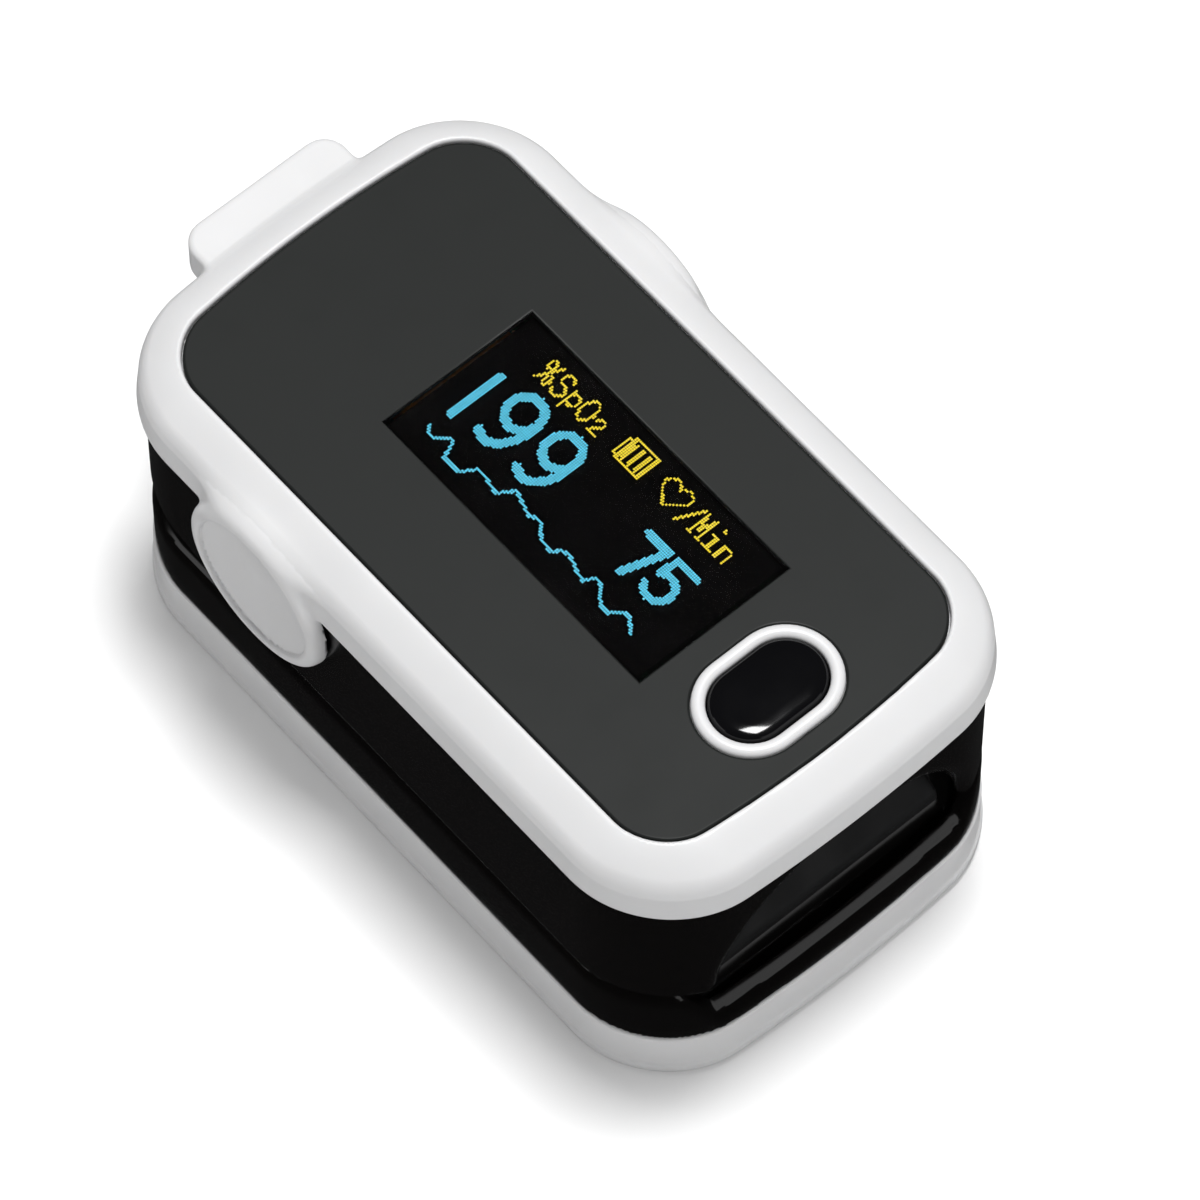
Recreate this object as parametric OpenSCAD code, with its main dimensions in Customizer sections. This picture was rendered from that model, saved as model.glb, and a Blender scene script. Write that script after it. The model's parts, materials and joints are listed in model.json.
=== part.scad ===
// Fingertip pulse oximeter: two hinged jaws that clip on a fingertip, with a
// small display on top and two AAA cells in the lower jaw. Millimetres.
// X is the width, -Y is the end that the finger enters, +Z is up.
// The origin is on the table, under the middle of the display panel.

/* [Outline] */
// Half width of the display panel
panel_half_w = 14.6; // [14:0.1:15.5]
// Half length of the display panel at its corners
panel_half_l = 26.5; // [26:0.1:27.5]
// How far each short side bows outward at its middle
end_bow = 1.15; // [0.8:0.05:1.5]
// Corner radius of the display panel
panel_corner_r = 4.1; // [3:0.1:5]
// How far the white bezel stands outside the panel
bezel_outset = 3.73; // [3.5:0.05:4]
// How far the base stands outside the panel
base_outset = 3.35; // [3.2:0.05:3.5]

/* [Heights] */
// Top of the white base cover
base_top_z = 5.2; // [5:0.1:5.5]
// Line where the two jaws meet
parting_z = 11.2; // [11:0.1:11.6]
// Lower edge of the white bezel
bezel_low_z = 24.2; // [24:0.1:24.4]
// Shoulder where the bezel turns from its side to its top
bezel_shoulder_z = 27.7; // [27.3:0.1:28]
// Highest point of the bezel, beside the panel
bezel_top_z = 29.9; // [29.8:0.05:30]
// Top face of the display panel
panel_top_z = 29.6; // [29.5:0.05:29.7]

/* [Hinge] */
// Distance of the hinge axis behind the middle
pivot_y = 11.6; // [11.4:0.1:11.8]
// Height of the hinge axis
pivot_z = 21.1; // [21:0.1:21.3]
// Radius of each hinge pin
pin_r = 1.2; // [1.1:0.05:1.25]
// Radial clearance of the pin in the lower jaw's lugs
pin_clearance = 0.05; // [0.03:0.01:0.08]
// Angle that the jaws open to, which sets the slope of the rear gap
open_angle = 12; // [10:1:12]

/* [Ears and tab] */
// Radius of the round ear over each hinge pin
ear_r = 7.1; // [6.8:0.1:7.2]
// Distance of the ear's outer face from the middle
ear_face_x = 19.2; // [19.1:0.1:19.5]
// Width of the squeeze tab at the rear
tab_w = 14; // [12:0.5:15]
// Distance of the tab's edge behind the middle
tab_end_y = 34; // [33.5:0.1:34.5]

/* [Display and button] */
// Width of the display window
window_w = 13.66; // [13.2:0.02:14]
// Length of the display window
window_l = 27.36; // [27:0.02:27.6]
// Sideways offset of the window from the middle
window_x = 0.62; // [0.4:0.02:0.8]
// Lengthwise offset of the window from the middle
window_y = -1.65; // [-1.8:0.05:-1.5]
// Lengthwise place of the power button
button_y = -21.7; // [-21.8:0.1:-21.5]
// Half of the straight stretch of the button's outline
button_half = 1.64; // [1.5:0.02:1.8]
// Outer end radius of the white ring around the button
trim_r = 4.14; // [4:0.02:4.3]
// Inner end radius of that ring
trim_hole_r = 3.11; // [3.05:0.02:3.2]
// Travel of the power button
button_travel = 0.4; // [0.3:0.05:0.4]

/* [Batteries] */
// Radius of an AAA cell
cell_r = 5.25; // [5.2:0.01:5.25]
// Overall length of an AAA cell, with its raised contact
cell_l = 44.5; // [44.3:0.1:44.5]
// Distance that the battery door slides to come free
door_travel = 7; // [6:0.5:7]

/* [Hidden] */
$fn = 64;
smooth_fn = 256;   // for the wide arcs of the bowed ends
eps = 0.01;
wall = 1.4;

panel_gap = 0.12;
panel_thick = 0.7;
panel_low_z = panel_top_z - panel_thick;
ledge_half_w = panel_half_w - 1.6;
ledge_half_l = panel_half_l - 1.6;
ledge_corner_r = 3;

bezel_corner_r = 8.5;
base_corner_r = 7.9;
lower_inset = 0.25;      // lower case behind the base cover
upper_inset = 0.6;       // upper case behind the bezel's edge
upper_half_w = panel_half_w + bezel_outset - upper_inset;
upper_low_z = parting_z + 0.25;

ceiling_thick = 0.8;
ceiling_z = bezel_low_z - ceiling_thick;

// Finger channel: two shallow arcs that meet the pads' side edges.
channel_low_z = 15.0;
channel_top_z = 21.8;
channel_r = 14.3;
pad_half_w = 10.4;
pad_split_z = 18.3;
pad_split_gap = 0.4;
button_low_z = 27.7;
pad_rear_y = 6.6;
stop_y = 5;
mouth_r = 10.7;
mouth_z = parting_z + 0.2;
sensor_y = -12;
sensor_well = 7;

// Battery box inside the lower case.
cell_x = 5.4;
cell_z = 6.9;
nub_r = 1.9;
nub_l = 0.8;
box_half_w = 11;
box_wall = 1;
box_front_y = -19.8;
box_rear_y = 28.2;
contact_thick = 0.3;
contact_spring_l = box_rear_y - box_front_y - 2 * contact_thick - cell_l;
deck_thick = 1;
deck_z = 12.4;
deck_top_z = deck_z + deck_thick;
web_z = 9.6;
lip_drop = 3.1;            // front lip of the mouth below the parting line
lip_half_w = 12.2;
lip_in_y = -23.5;          // where the mouth's floor starts to slope down
lip_out_y = -28.5;         // where it levels out behind the lip

// Battery door and the screws that hold the base on.
floor_thick = 1.2;
door_half_w = box_half_w + box_wall - 0.05;
door_gap = 0.15;
door_front_y = -20.05;
tongue_l = 5;
tongue_out = 0.9;
tongue_z = floor_thick + door_gap;
tongue_thick = 0.55;
tongue_ys = [-15, -3.5, 8];
base_screw_x = 14.3;
base_screw_y = 24;
base_post_r = 2;

// Hinge lugs and springs.
lug_in_x = 13.4;
lug_out_x = 15;
lug_r = 2.1;
pin_in_x = 9;
pin_out_x = 17.9;
coil_r = 1.7;
spring_wire_r = 0.3;
coil_turns_deg = 1587;
coil_start_deg = -123;
coil_x0 = 9.6;
coil_pitch = 0.72;
spring_steps_deg = 30;

// Electronics in the upper jaw.
board_half_w = 12.5;
board_thick = 0.8;
board_z = bezel_low_z + 0.4;
board_top_z = board_z + board_thick;
board_front_y = -25;
board_rear_y = 24.8;
oled_w = 19.26;
oled_l = 26.7;
oled_thick = 1.4;
oled_z = panel_low_z - 0.1 - oled_thick;
oled_x = window_x + 0.2; // the lit area sits a little off the window's middle
oled_y = window_y + 0.2;
case_screw_x = 14.6;
case_screw_y = 22;
case_screw_r = 0.6;
case_screw_head_r = 1.1;
cable_half_w = 2;
cable_thick = 0.12;
cable_y = 8.6;

// ---------- shared shapes ----------

// Rectangle with round corners, given by its half sizes.
module round_rect(half_w, half_l, r) {
    square([2 * half_w, 2 * (half_l - r)], center = true);
    square([2 * (half_w - r), 2 * half_l], center = true);
    for (sx = [-1, 1], sy = [-1, 1])
        translate([sx * (half_w - r), sy * (half_l - r)]) circle(r);
}

// The body's outline: a round rectangle whose short sides bow outward.
module outline(half_w, half_l, r, bow_fn = smooth_fn) {
    bow = end_bow;
    arc_r = (half_w * half_w + bow * bow) / (2 * bow);
    intersection() {
        round_rect(half_w, half_l + bow, r);
        translate([0, half_l + bow - arc_r]) circle(arc_r, $fn = bow_fn);
        translate([0, arc_r - half_l - bow]) circle(arc_r, $fn = bow_fn);
    }
}

// The outline, grown from the panel's edge and extruded between two heights.
module slab(outset, r, z0, z1) {
    translate([0, 0, z0]) linear_extrude(z1 - z0)
        outline(panel_half_w + outset, panel_half_l + outset, r);
}

// A faceted slab for hulls.
module coarse_slab(outset, r, z0, z1) {
    translate([0, 0, z0]) linear_extrude(z1 - z0)
        outline(panel_half_w + outset, panel_half_l + outset, r, bow_fn = 64, $fn = 32);
}

// Two half circles joined by a straight stretch along X.
module obround(half, r, z0, z1) {
    translate([0, button_y, z0]) linear_extrude(z1 - z0) {
        square([2 * half, 2 * r], center = true);
        for (sx = [-1, 1]) translate([sx * half, 0]) circle(r);
    }
}

// A block given by its two corners.
module block(low, high) {
    translate(low) cube(high - low);
}

// A cylinder along X or Y between two places on that axis.
module rod_x(r, x0, x1, y, z) {
    translate([x0, y, z]) rotate([0, 90, 0]) cylinder(r = r, h = x1 - x0);
}
module rod_y(r, y0, y1, x, z) {
    translate([x, y0, z]) rotate([-90, 0, 0]) cylinder(r = r, h = y1 - y0);
}

// A profile in the YZ plane, extruded along X about the middle.
module side_extrude(half_w) {
    translate([-half_w, 0, 0]) rotate([90, 0, 90]) linear_extrude(2 * half_w) children();
}

// Round wire swept along a list of points.
function unit(v) = v / norm(v);
function heading(p, i) = unit(p[min(i + 1, len(p) - 1)] - p[max(i - 1, 0)]);
function side_of(t, up) = unit(cross(t, up));
module wire(points, r, up, sides = 8) {
    n = len(points);
    rings = [for (i = [0 : n - 1])
        let (t = heading(points, i), a = side_of(t, up), b = cross(t, a))
        for (k = [0 : sides - 1])
            points[i] + r * (cos(k * 360 / sides) * a + sin(k * 360 / sides) * b)];
    walls = [for (i = [0 : n - 2], k = [0 : sides - 1])
        let (k2 = (k + 1) % sides)
        [i * sides + k, i * sides + k2, (i + 1) * sides + k2, (i + 1) * sides + k]];
    first_cap = [[for (k = [sides - 1 : -1 : 0]) k]];
    last_cap = [[for (k = [0 : sides - 1]) (n - 1) * sides + k]];
    polyhedron(points = rings, faces = concat(walls, first_cap, last_cap), convexity = 6);
}

// ---------- lower jaw ----------

module base_body() {
    hull() {
        coarse_slab(base_outset - 1.7, base_corner_r - 1.7, 0, 0.1);
        coarse_slab(base_outset - 0.5, base_corner_r - 0.5, 0.6, 0.7);
        coarse_slab(base_outset, base_corner_r, 1.8, base_top_z);
    }
}

module base_cover() {
    color("white") difference() {
        base_body();
        slab(base_outset - wall, base_corner_r - wall, floor_thick, base_top_z + 1);
        block([-door_half_w - door_gap, door_front_y - door_gap, -1],
              [door_half_w + door_gap, 40, base_top_z + 1]);
        for (sx = [-1, 1], y = tongue_ys)
            translate([sx * (door_half_w + tongue_out / 2 + door_gap), y + door_travel + tongue_l / 2, 0])
                cube([tongue_out + 0.3, tongue_l + 0.6, 3], center = true);
        for (sx = [-1, 1], sy = [-1, 1])
            translate([sx * base_screw_x, sy * base_screw_y, 0]) {
                translate([0, 0, -1]) cylinder(r = 0.85, h = 4);
                translate([0, 0, -1]) cylinder(r = 1.6, h = 1.55);
            }
    }
}

module battery_door() {
    color("white") {
        difference() {
            intersection() {
                base_body();
                block([-door_half_w, door_front_y, -1], [door_half_w, 40, base_top_z - 0.2]);
            }
            block([-20, -40, floor_thick], [20, 29.45, 10]);
            for (i = [0 : 4])
                block([-5, 23 + 1.1 * i, -1], [5, 23.5 + 1.1 * i, 0.3]);
        }
        for (sx = [-1, 1], y = tongue_ys)
            translate([sx * (door_half_w + tongue_out / 2 - 0.5), y + tongue_l / 2, 0]) {
                translate([0, 0, tongue_z + tongue_thick / 2])
                    cube([tongue_out + 1, tongue_l, tongue_thick], center = true);
                translate([-sx * 0.5, 0, floor_thick + 0.2])
                    cube([0.8, tongue_l, 0.6], center = true);
            }
    }
}

module lug(sx) {
    x0 = sx > 0 ? lug_in_x : -lug_out_x;
    x1 = sx > 0 ? lug_out_x : -lug_in_x;
    rod_x(lug_r, x0, x1, pivot_y, pivot_z);
    block([x0, pivot_y - lug_r, web_z], [x1, pivot_y + lug_r, pivot_z]);
}

module lower_case() {
    shell_outset = base_outset - lower_inset;
    shell_r = base_corner_r - lower_inset;
    color([0.06, 0.06, 0.07]) difference() {
        union() {
            difference() {
                slab(shell_outset, shell_r, base_top_z, parting_z);
                slab(shell_outset - wall, shell_r - wall, base_top_z - 1, parting_z + 1);
            }
            slab(shell_outset - 0.5, shell_r - 0.5, web_z, web_z + 1);
            side_extrude(lip_half_w)
                polygon([[lip_in_y, web_z], [lip_in_y, web_z + 1], [lip_out_y, web_z + 1 - lip_drop],
                         [lip_out_y - 2, web_z + 1 - lip_drop], [lip_out_y - 2, web_z - lip_drop],
                         [lip_out_y, web_z - lip_drop]]);
            block([-box_half_w - box_wall, box_front_y - box_wall, 2.2],
                  [box_half_w + box_wall, box_rear_y + box_wall, deck_top_z]);
            for (sx = [-1, 1], sy = [-1, 1])
                translate([sx * base_screw_x, sy * base_screw_y, floor_thick])
                    cylinder(r = base_post_r, h = web_z - floor_thick + 0.5);
            lug(1);
            lug(-1);
        }
        side_extrude(lip_half_w)
            polygon([[lip_in_y, web_z + 1], [lip_out_y, web_z + 1 - lip_drop],
                     [lip_out_y - 1.2, web_z + 1 - lip_drop], [lip_out_y - 1.2, parting_z - lip_drop],
                     [lip_out_y - 9, parting_z - lip_drop], [lip_out_y - 9, parting_z + 1],
                     [lip_in_y, parting_z + 1]]);
        block([-box_half_w, box_front_y, 0], [box_half_w, box_rear_y, deck_z]);
        block([-3.2, sensor_y - 6.2, deck_z - 1], [3.2, sensor_y + 6.2, deck_top_z + 1]);
        rod_x(pin_r + pin_clearance, lug_in_x - 1, lug_out_x + 1, pivot_y, pivot_z);
        rod_x(pin_r + pin_clearance, -lug_out_x - 1, -lug_in_x + 1, pivot_y, pivot_z);
        for (sx = [-1, 1], sy = [-1, 1])
            translate([sx * base_screw_x, sy * base_screw_y, 0])
                cylinder(r = 0.72, h = 6.5);
    }
}

// An AAA cell whose raised contact points along +Y or -Y.
module cell(x, low_y, nub_dir) {
    body_y = nub_dir < 0 ? low_y + nub_l : low_y;
    nub_y = nub_dir < 0 ? low_y : low_y + cell_l - nub_l;
    rod_y(cell_r, body_y, body_y + cell_l - nub_l, x, cell_z);
    rod_y(nub_r, nub_y - (nub_dir < 0 ? 0 : eps), nub_y + nub_l + (nub_dir < 0 ? eps : 0), x, cell_z);
}

module battery_left() {
    color("steelblue") cell(-cell_x, box_front_y + contact_thick, -1);
}

module battery_right() {
    color("steelblue") cell(cell_x, box_front_y + contact_thick + contact_spring_l, 1);
}

module contact_plate(x, y, half_w) {
    block([x - half_w, y, cell_z - 3.4], [x + half_w, y + contact_thick, cell_z + 3.4]);
}

module bridge_contact() {
    color("silver") contact_plate(0, box_front_y, cell_x + 3.6);
}

module negative_contact() {
    color("silver") contact_plate(-cell_x, box_rear_y - contact_thick, 3.6);
}

module positive_contact() {
    color("silver") contact_plate(cell_x, box_rear_y - contact_thick, 3.6);
}

// Conical coil that pushes on the flat end of a cell.
module contact_spring(x, plate_y, dir) {
    turns = 3;
    r = 0.22;
    steps = 14 * turns;
    length = contact_spring_l - 2 * r - 0.04;
    path = [for (i = [0 : steps])
        let (a = 360 * turns * i / steps, cone = 3.2 - 1.6 * i / steps)
        [x + cone * cos(a), plate_y + dir * (r + 0.02 + length * i / steps), cell_z + cone * sin(a)]];
    wire(path, r, [0, 1, 0], 6);
}

module front_contact_spring() {
    color("silver") contact_spring(cell_x, box_front_y + contact_thick, 1);
}

module rear_contact_spring() {
    color("silver") contact_spring(-cell_x, box_rear_y - contact_thick, -1);
}

module detector_board() {
    color("darkgreen") block([-3, sensor_y - 6, deck_z + 0.1], [3, sensor_y + 6, deck_z + 0.7]);
}

module photodiode() {
    color([0.1, 0.1, 0.12])
        block([-2, sensor_y - 2.2, deck_z + 0.7], [2, sensor_y + 2.2, deck_z + 1.4]);
}

module detector_window() {
    half = sensor_well / 2 - 0.2;
    color([0.35, 0.05, 0.05, 0.6])
        block([-half, sensor_y - half, 13.9], [half, sensor_y + half, 14.85]);
}

module lower_finger_pad() {
    pad_low_z = deck_top_z + 0.2;
    pad_top_z = pad_split_z - pad_split_gap / 2;
    color([0.09, 0.09, 0.1]) difference() {
        side_extrude(pad_half_w)
            polygon([[-28.6, parting_z - 0.5], [-28.6, parting_z + 0.6], [-21.5, pad_top_z],
                     [pad_rear_y, pad_top_z], [pad_rear_y, pad_low_z],
                     [box_front_y - box_wall - 0.3, pad_low_z],
                     [box_front_y - box_wall - 0.3, parting_z - 0.5]]);
        rod_y(channel_r, -40, stop_y, 0, channel_low_z + channel_r);
        block([-sensor_well / 2, sensor_y - sensor_well / 2, 10],
              [sensor_well / 2, sensor_y + sensor_well / 2, 20]);
    }
}

// Torsion spring around a hinge pin; both legs run to the rear.
module torsion_spring(sx) {
    steps = ceil(coil_turns_deg / spring_steps_deg);
    coil_end_x = coil_x0 + coil_pitch * coil_turns_deg / 360;
    coil = [for (i = [0 : steps])
        let (a = coil_start_deg - coil_turns_deg * i / steps)
        [sx * (coil_x0 + coil_pitch * coil_turns_deg / 360 * i / steps),
         pivot_y + coil_r * cos(a), pivot_z + coil_r * sin(a)]];
    low_leg = [sx * coil_x0, 19.5, deck_top_z + spring_wire_r + 0.06];
    high_leg = [sx * coil_end_x, 21, pivot_z + coil_r];
    wire(concat([low_leg], coil, [high_leg]), spring_wire_r, [1, 0, 0]);
}

module torsion_spring_left() {
    color("silver") torsion_spring(-1);
}

module torsion_spring_right() {
    color("silver") torsion_spring(1);
}

// Flat cable from the detector board, past the hinge, to the main board.
module sensor_cable() {
    y0 = sensor_y + sensor_well / 2 + 2.6;
    z0 = deck_top_z + 0.02;
    color("orange") side_extrude(cable_half_w)
        polygon([[y0, z0], [cable_y + cable_thick, z0], [cable_y + cable_thick, board_z],
                 [cable_y, board_z], [cable_y, z0 + cable_thick], [y0, z0 + cable_thick]]);
}

module base_screws() {
    color("silver") for (sx = [-1, 1], sy = [-1, 1])
        translate([sx * base_screw_x, sy * base_screw_y, 0]) difference() {
            union() {
                translate([0, 0, 0.15]) cylinder(r = 1.45, h = 0.4);
                translate([0, 0, 0.5]) cylinder(r = 0.7, h = 5.5);
            }
            for (a = [0, 90])
                rotate([0, 0, a]) translate([0, 0, 0.15]) cube([1.7, 0.35, 0.5], center = true);
        }
}

// ---------- upper jaw ----------

// Side profile that is cut away so that the rear can swing down.
module rear_relief(half_w, clear_z) {
    drop = (clear_z - pivot_z) / cos(open_angle);
    rise = tan(open_angle);
    side_extrude(half_w)
        polygon([[pivot_y - 4, 0], [pivot_y - 4, clear_z], [pivot_y, pivot_z + drop],
                 [40, pivot_z + drop + rise * (40 - pivot_y)], [40, 0]]);
}

module upper_case() {
    shell_outset = bezel_outset - upper_inset;
    shell_r = bezel_corner_r - upper_inset;
    color([0.06, 0.06, 0.07]) difference() {
        union() {
            difference() {
                slab(shell_outset, shell_r, upper_low_z, bezel_low_z);
                slab(shell_outset - wall, shell_r - wall, 0, ceiling_z);
            }
            for (sx = [-1, 1])
                rod_x(2.6, sx > 0 ? lug_out_x + 0.12 : -upper_half_w + wall / 2,
                      sx > 0 ? upper_half_w - wall / 2 : -lug_out_x - 0.12, pivot_y, pivot_z);
            for (sx = [-1, 1], sy = [-1, 1])
                translate([sx * 11, sy * 20, ceiling_z]) cylinder(r = 1, h = board_z - ceiling_z);
            for (sx = [-1, 1])
                translate([sx * 12.4, 19.5, ceiling_z - 0.1]) cube([2.4, 4, 0.4], center = true);
        }
        rear_relief(2 * upper_half_w, parting_z + 0.45);
        rear_relief(box_half_w + box_wall + 0.4, deck_top_z + 0.4);
        rod_y(mouth_r, -40, -27, 0, mouth_z);
        rod_x(pin_r, -30, 30, pivot_y, pivot_z);
        block([-2.6, sensor_y - 2.6, 20], [2.6, sensor_y + 2.6, 30]);
        block([-cable_half_w - 0.4, cable_y - 0.6, 20], [cable_half_w + 0.4, cable_y + 0.8, 30]);
        for (sx = [-1, 1], sy = [-1, 1])
            translate([sx * case_screw_x, sy * case_screw_y, 20]) cylinder(r = case_screw_r + 0.1, h = 10);
    }
}

module ear() {
    round_r = 0.6;
    thick = ear_face_x - upper_half_w - 0.15;
    dish_half = 5.4;
    dish_deep = 0.7;
    dish_r = (dish_half * dish_half + dish_deep * dish_deep) / (2 * dish_deep);
    rotate_extrude() difference() {
        union() {
            square([ear_r - round_r, thick]);
            square([ear_r, thick - round_r]);
            translate([ear_r - round_r, thick - round_r]) circle(round_r);
        }
        translate([0, thick - dish_deep + dish_r]) circle(dish_r, $fn = smooth_fn);
        translate([-50, -50]) square([50, 100]);
    }
}

module top_bezel() {
    color("white") difference() {
        union() {
            hull() {
                coarse_slab(bezel_outset, bezel_corner_r, bezel_low_z, bezel_low_z + 0.5);
                coarse_slab(bezel_outset - 0.15, bezel_corner_r - 0.15, bezel_shoulder_z - 0.4,
                            bezel_shoulder_z);
                coarse_slab(bezel_outset - 1, bezel_corner_r - 1, bezel_shoulder_z + 1.1,
                            bezel_shoulder_z + 1.2);
                coarse_slab(bezel_outset - 2.6, bezel_corner_r - 2.6, bezel_top_z - 0.1, bezel_top_z);
            }
            translate([upper_half_w + 0.15, pivot_y, pivot_z]) rotate([0, 90, 0]) ear();
            translate([-upper_half_w - 0.15, pivot_y, pivot_z]) rotate([0, -90, 0]) ear();
            translate([0, 0, bezel_low_z + 0.5]) linear_extrude(3.4)
                translate([0, tab_end_y - 6]) round_rect(tab_w / 2, 6, 2);
        }
        slab(panel_gap, panel_corner_r + panel_gap, panel_low_z - 0.05, bezel_top_z + 1);
        slab(ledge_half_w - panel_half_w, ledge_corner_r, 0, bezel_top_z);
        obround(button_half, trim_r + 1, 20, panel_low_z);
        rod_x(pin_r + 0.05, -pin_out_x - 0.1, pin_out_x + 0.1, pivot_y, pivot_z);
        for (sx = [-1, 1], sy = [-1, 1])
            translate([sx * case_screw_x, sy * case_screw_y, 20]) cylinder(r = case_screw_r + 0.02, h = 7.6);
    }
}

module display_panel() {
    color([0.19, 0.2, 0.19]) difference() {
        slab(0, panel_corner_r, panel_low_z, panel_top_z);
        translate([window_x, window_y, panel_low_z]) cube([window_w, window_l, 10], center = true);
        obround(button_half, trim_r + 0.05, panel_low_z - 1, panel_top_z + 1);
    }
}

module screen_window() {
    color([0.02, 0.01, 0.01, 0.7])
        translate([window_x, window_y, panel_top_z - panel_thick / 2])
            cube([window_w - 0.06, window_l - 0.06, panel_thick - 0.06], center = true);
}

module button_trim_ring() {
    color("white") difference() {
        union() {
            obround(button_half, trim_r, panel_low_z - 0.1, panel_top_z + 0.4);
            obround(button_half, trim_r + 0.8, panel_low_z - 0.7, panel_low_z - 0.05);
        }
        obround(button_half, trim_hole_r, 20, 40);
    }
}

module power_button() {
    color([0.03, 0.03, 0.03]) {
        obround(button_half, trim_hole_r - 0.12, button_low_z, panel_top_z + 0.5);
        obround(button_half, trim_hole_r + 0.7, button_low_z, button_low_z + 0.4);
    }
}

module main_board() {
    mid_y = (board_front_y + board_rear_y) / 2;
    color("darkgreen") difference() {
        translate([0, mid_y, board_z]) linear_extrude(board_thick)
            round_rect(board_half_w, (board_rear_y - board_front_y) / 2, 2);
        for (sx = [-1, 1])
            translate([sx * 11, 0, 0]) cylinder(r = 0.8, h = 40);
    }
}

module display_module() {
    color([0.05, 0.05, 0.06])
        translate([oled_x, oled_y, oled_z + oled_thick / 2])
            cube([oled_w, oled_l, oled_thick], center = true);
}

module display_foam_pads() {
    color("lightgray") for (sx = [-1, 1])
        translate([oled_x + sx * (oled_w / 2 - 1.2), oled_y, (board_top_z + oled_z) / 2])
            cube([2, 20, oled_z - board_top_z], center = true);
}

module display_ribbon() {
    end_y = oled_y + oled_l / 2;
    t = 0.12;
    out_y = end_y + 2.4;
    color("orange") translate([oled_x, 0, 0]) side_extrude(5)
        polygon([[end_y, oled_z + 0.3], [out_y, oled_z + 0.3], [out_y, board_top_z],
                 [out_y - 3.4, board_top_z], [out_y - 3.4, board_top_z + t], [out_y - t, board_top_z + t],
                 [out_y - t, oled_z + 0.3 - t], [end_y, oled_z + 0.3 - t]]);
}

module button_switch() {
    plunger_top_z = button_low_z - button_travel - 0.05;
    color("silver") {
        translate([0, button_y, board_top_z + 0.6]) cube([4.6, 3.6, 1.2], center = true);
        translate([0, button_y, board_top_z + 1]) cylinder(r = 1, h = plunger_top_z - board_top_z - 1);
    }
}

// A chip on the board's top face.
module chip(x, y, w, l, h) {
    translate([x, y, board_top_z + h / 2]) cube([w, l, h], center = true);
}

module controller_chip() {
    color([0.08, 0.08, 0.08]) chip(0, -4, 7, 7, 0.8);
}

module amplifier_chip() {
    color([0.08, 0.08, 0.08]) chip(1, 5, 5, 5, 0.7);
}

module board_capacitors() {
    color("tan") for (x = [-6, -4.4, -2.8], y = [-13, 9.5])
        chip(x + 4.4, y, 0.8, 1.6, 0.6);
}

module emitter_led() {
    color("gold") block([-1.8, sensor_y - 1.8, board_z - 0.8], [1.8, sensor_y + 1.8, board_z]);
}

module emitter_window() {
    half = sensor_well / 2 - 0.2;
    color([0.7, 0.7, 0.75, 0.5])
        block([-half, sensor_y - half, channel_top_z + 0.2], [half, sensor_y + half, ceiling_z - 0.1]);
}

module upper_finger_pad() {
    pad_top_z = ceiling_z - 0.08;
    pad_low_z = pad_split_z + pad_split_gap / 2;
    color([0.09, 0.09, 0.1]) difference() {
        side_extrude(pad_half_w)
            polygon([[-28.4, pad_top_z], [-28.4, pad_top_z - 0.8], [-22.5, pad_low_z],
                     [pad_rear_y, pad_low_z], [pad_rear_y, pad_top_z]]);
        rod_y(channel_r, -40, stop_y, 0, channel_top_z - channel_r);
        block([-sensor_well / 2, sensor_y - sensor_well / 2, 10],
              [sensor_well / 2, sensor_y + sensor_well / 2, 30]);
    }
}

module hinge_pin_left() {
    color("silver") rod_x(pin_r, -pin_out_x, -pin_in_x, pivot_y, pivot_z);
}

module hinge_pin_right() {
    color("silver") rod_x(pin_r, pin_in_x, pin_out_x, pivot_y, pivot_z);
}

module upper_case_screws() {
    color("silver") for (sx = [-1, 1], sy = [-1, 1])
        translate([sx * case_screw_x, sy * case_screw_y, 0]) {
            translate([0, 0, ceiling_z - 0.9]) cylinder(r = case_screw_head_r, h = 0.9);
            translate([0, 0, ceiling_z - 0.1]) cylinder(r = case_screw_r, h = 4.1);
        }
}

base_cover();
battery_door();
lower_case();
battery_left();
battery_right();
bridge_contact();
positive_contact();
negative_contact();
front_contact_spring();
rear_contact_spring();
detector_board();
photodiode();
detector_window();
lower_finger_pad();
torsion_spring_left();
torsion_spring_right();
sensor_cable();
base_screws();
upper_case();
top_bezel();
display_panel();
screen_window();
button_trim_ring();
power_button();
main_board();
display_module();
display_ribbon();
display_foam_pads();
button_switch();
controller_chip();
amplifier_chip();
board_capacitors();
emitter_led();
emitter_window();
upper_finger_pad();
hinge_pin_left();
hinge_pin_right();
upper_case_screws();
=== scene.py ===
"""Looks of a fingertip pulse oximeter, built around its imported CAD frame.

Shapes are worked out in millimetres as signed distance fields (negative inside) or as lofted
loops, then written to meshes in metres. X is the width, the finger enters at -Y, Z is up.
"""
import json
import math

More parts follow.
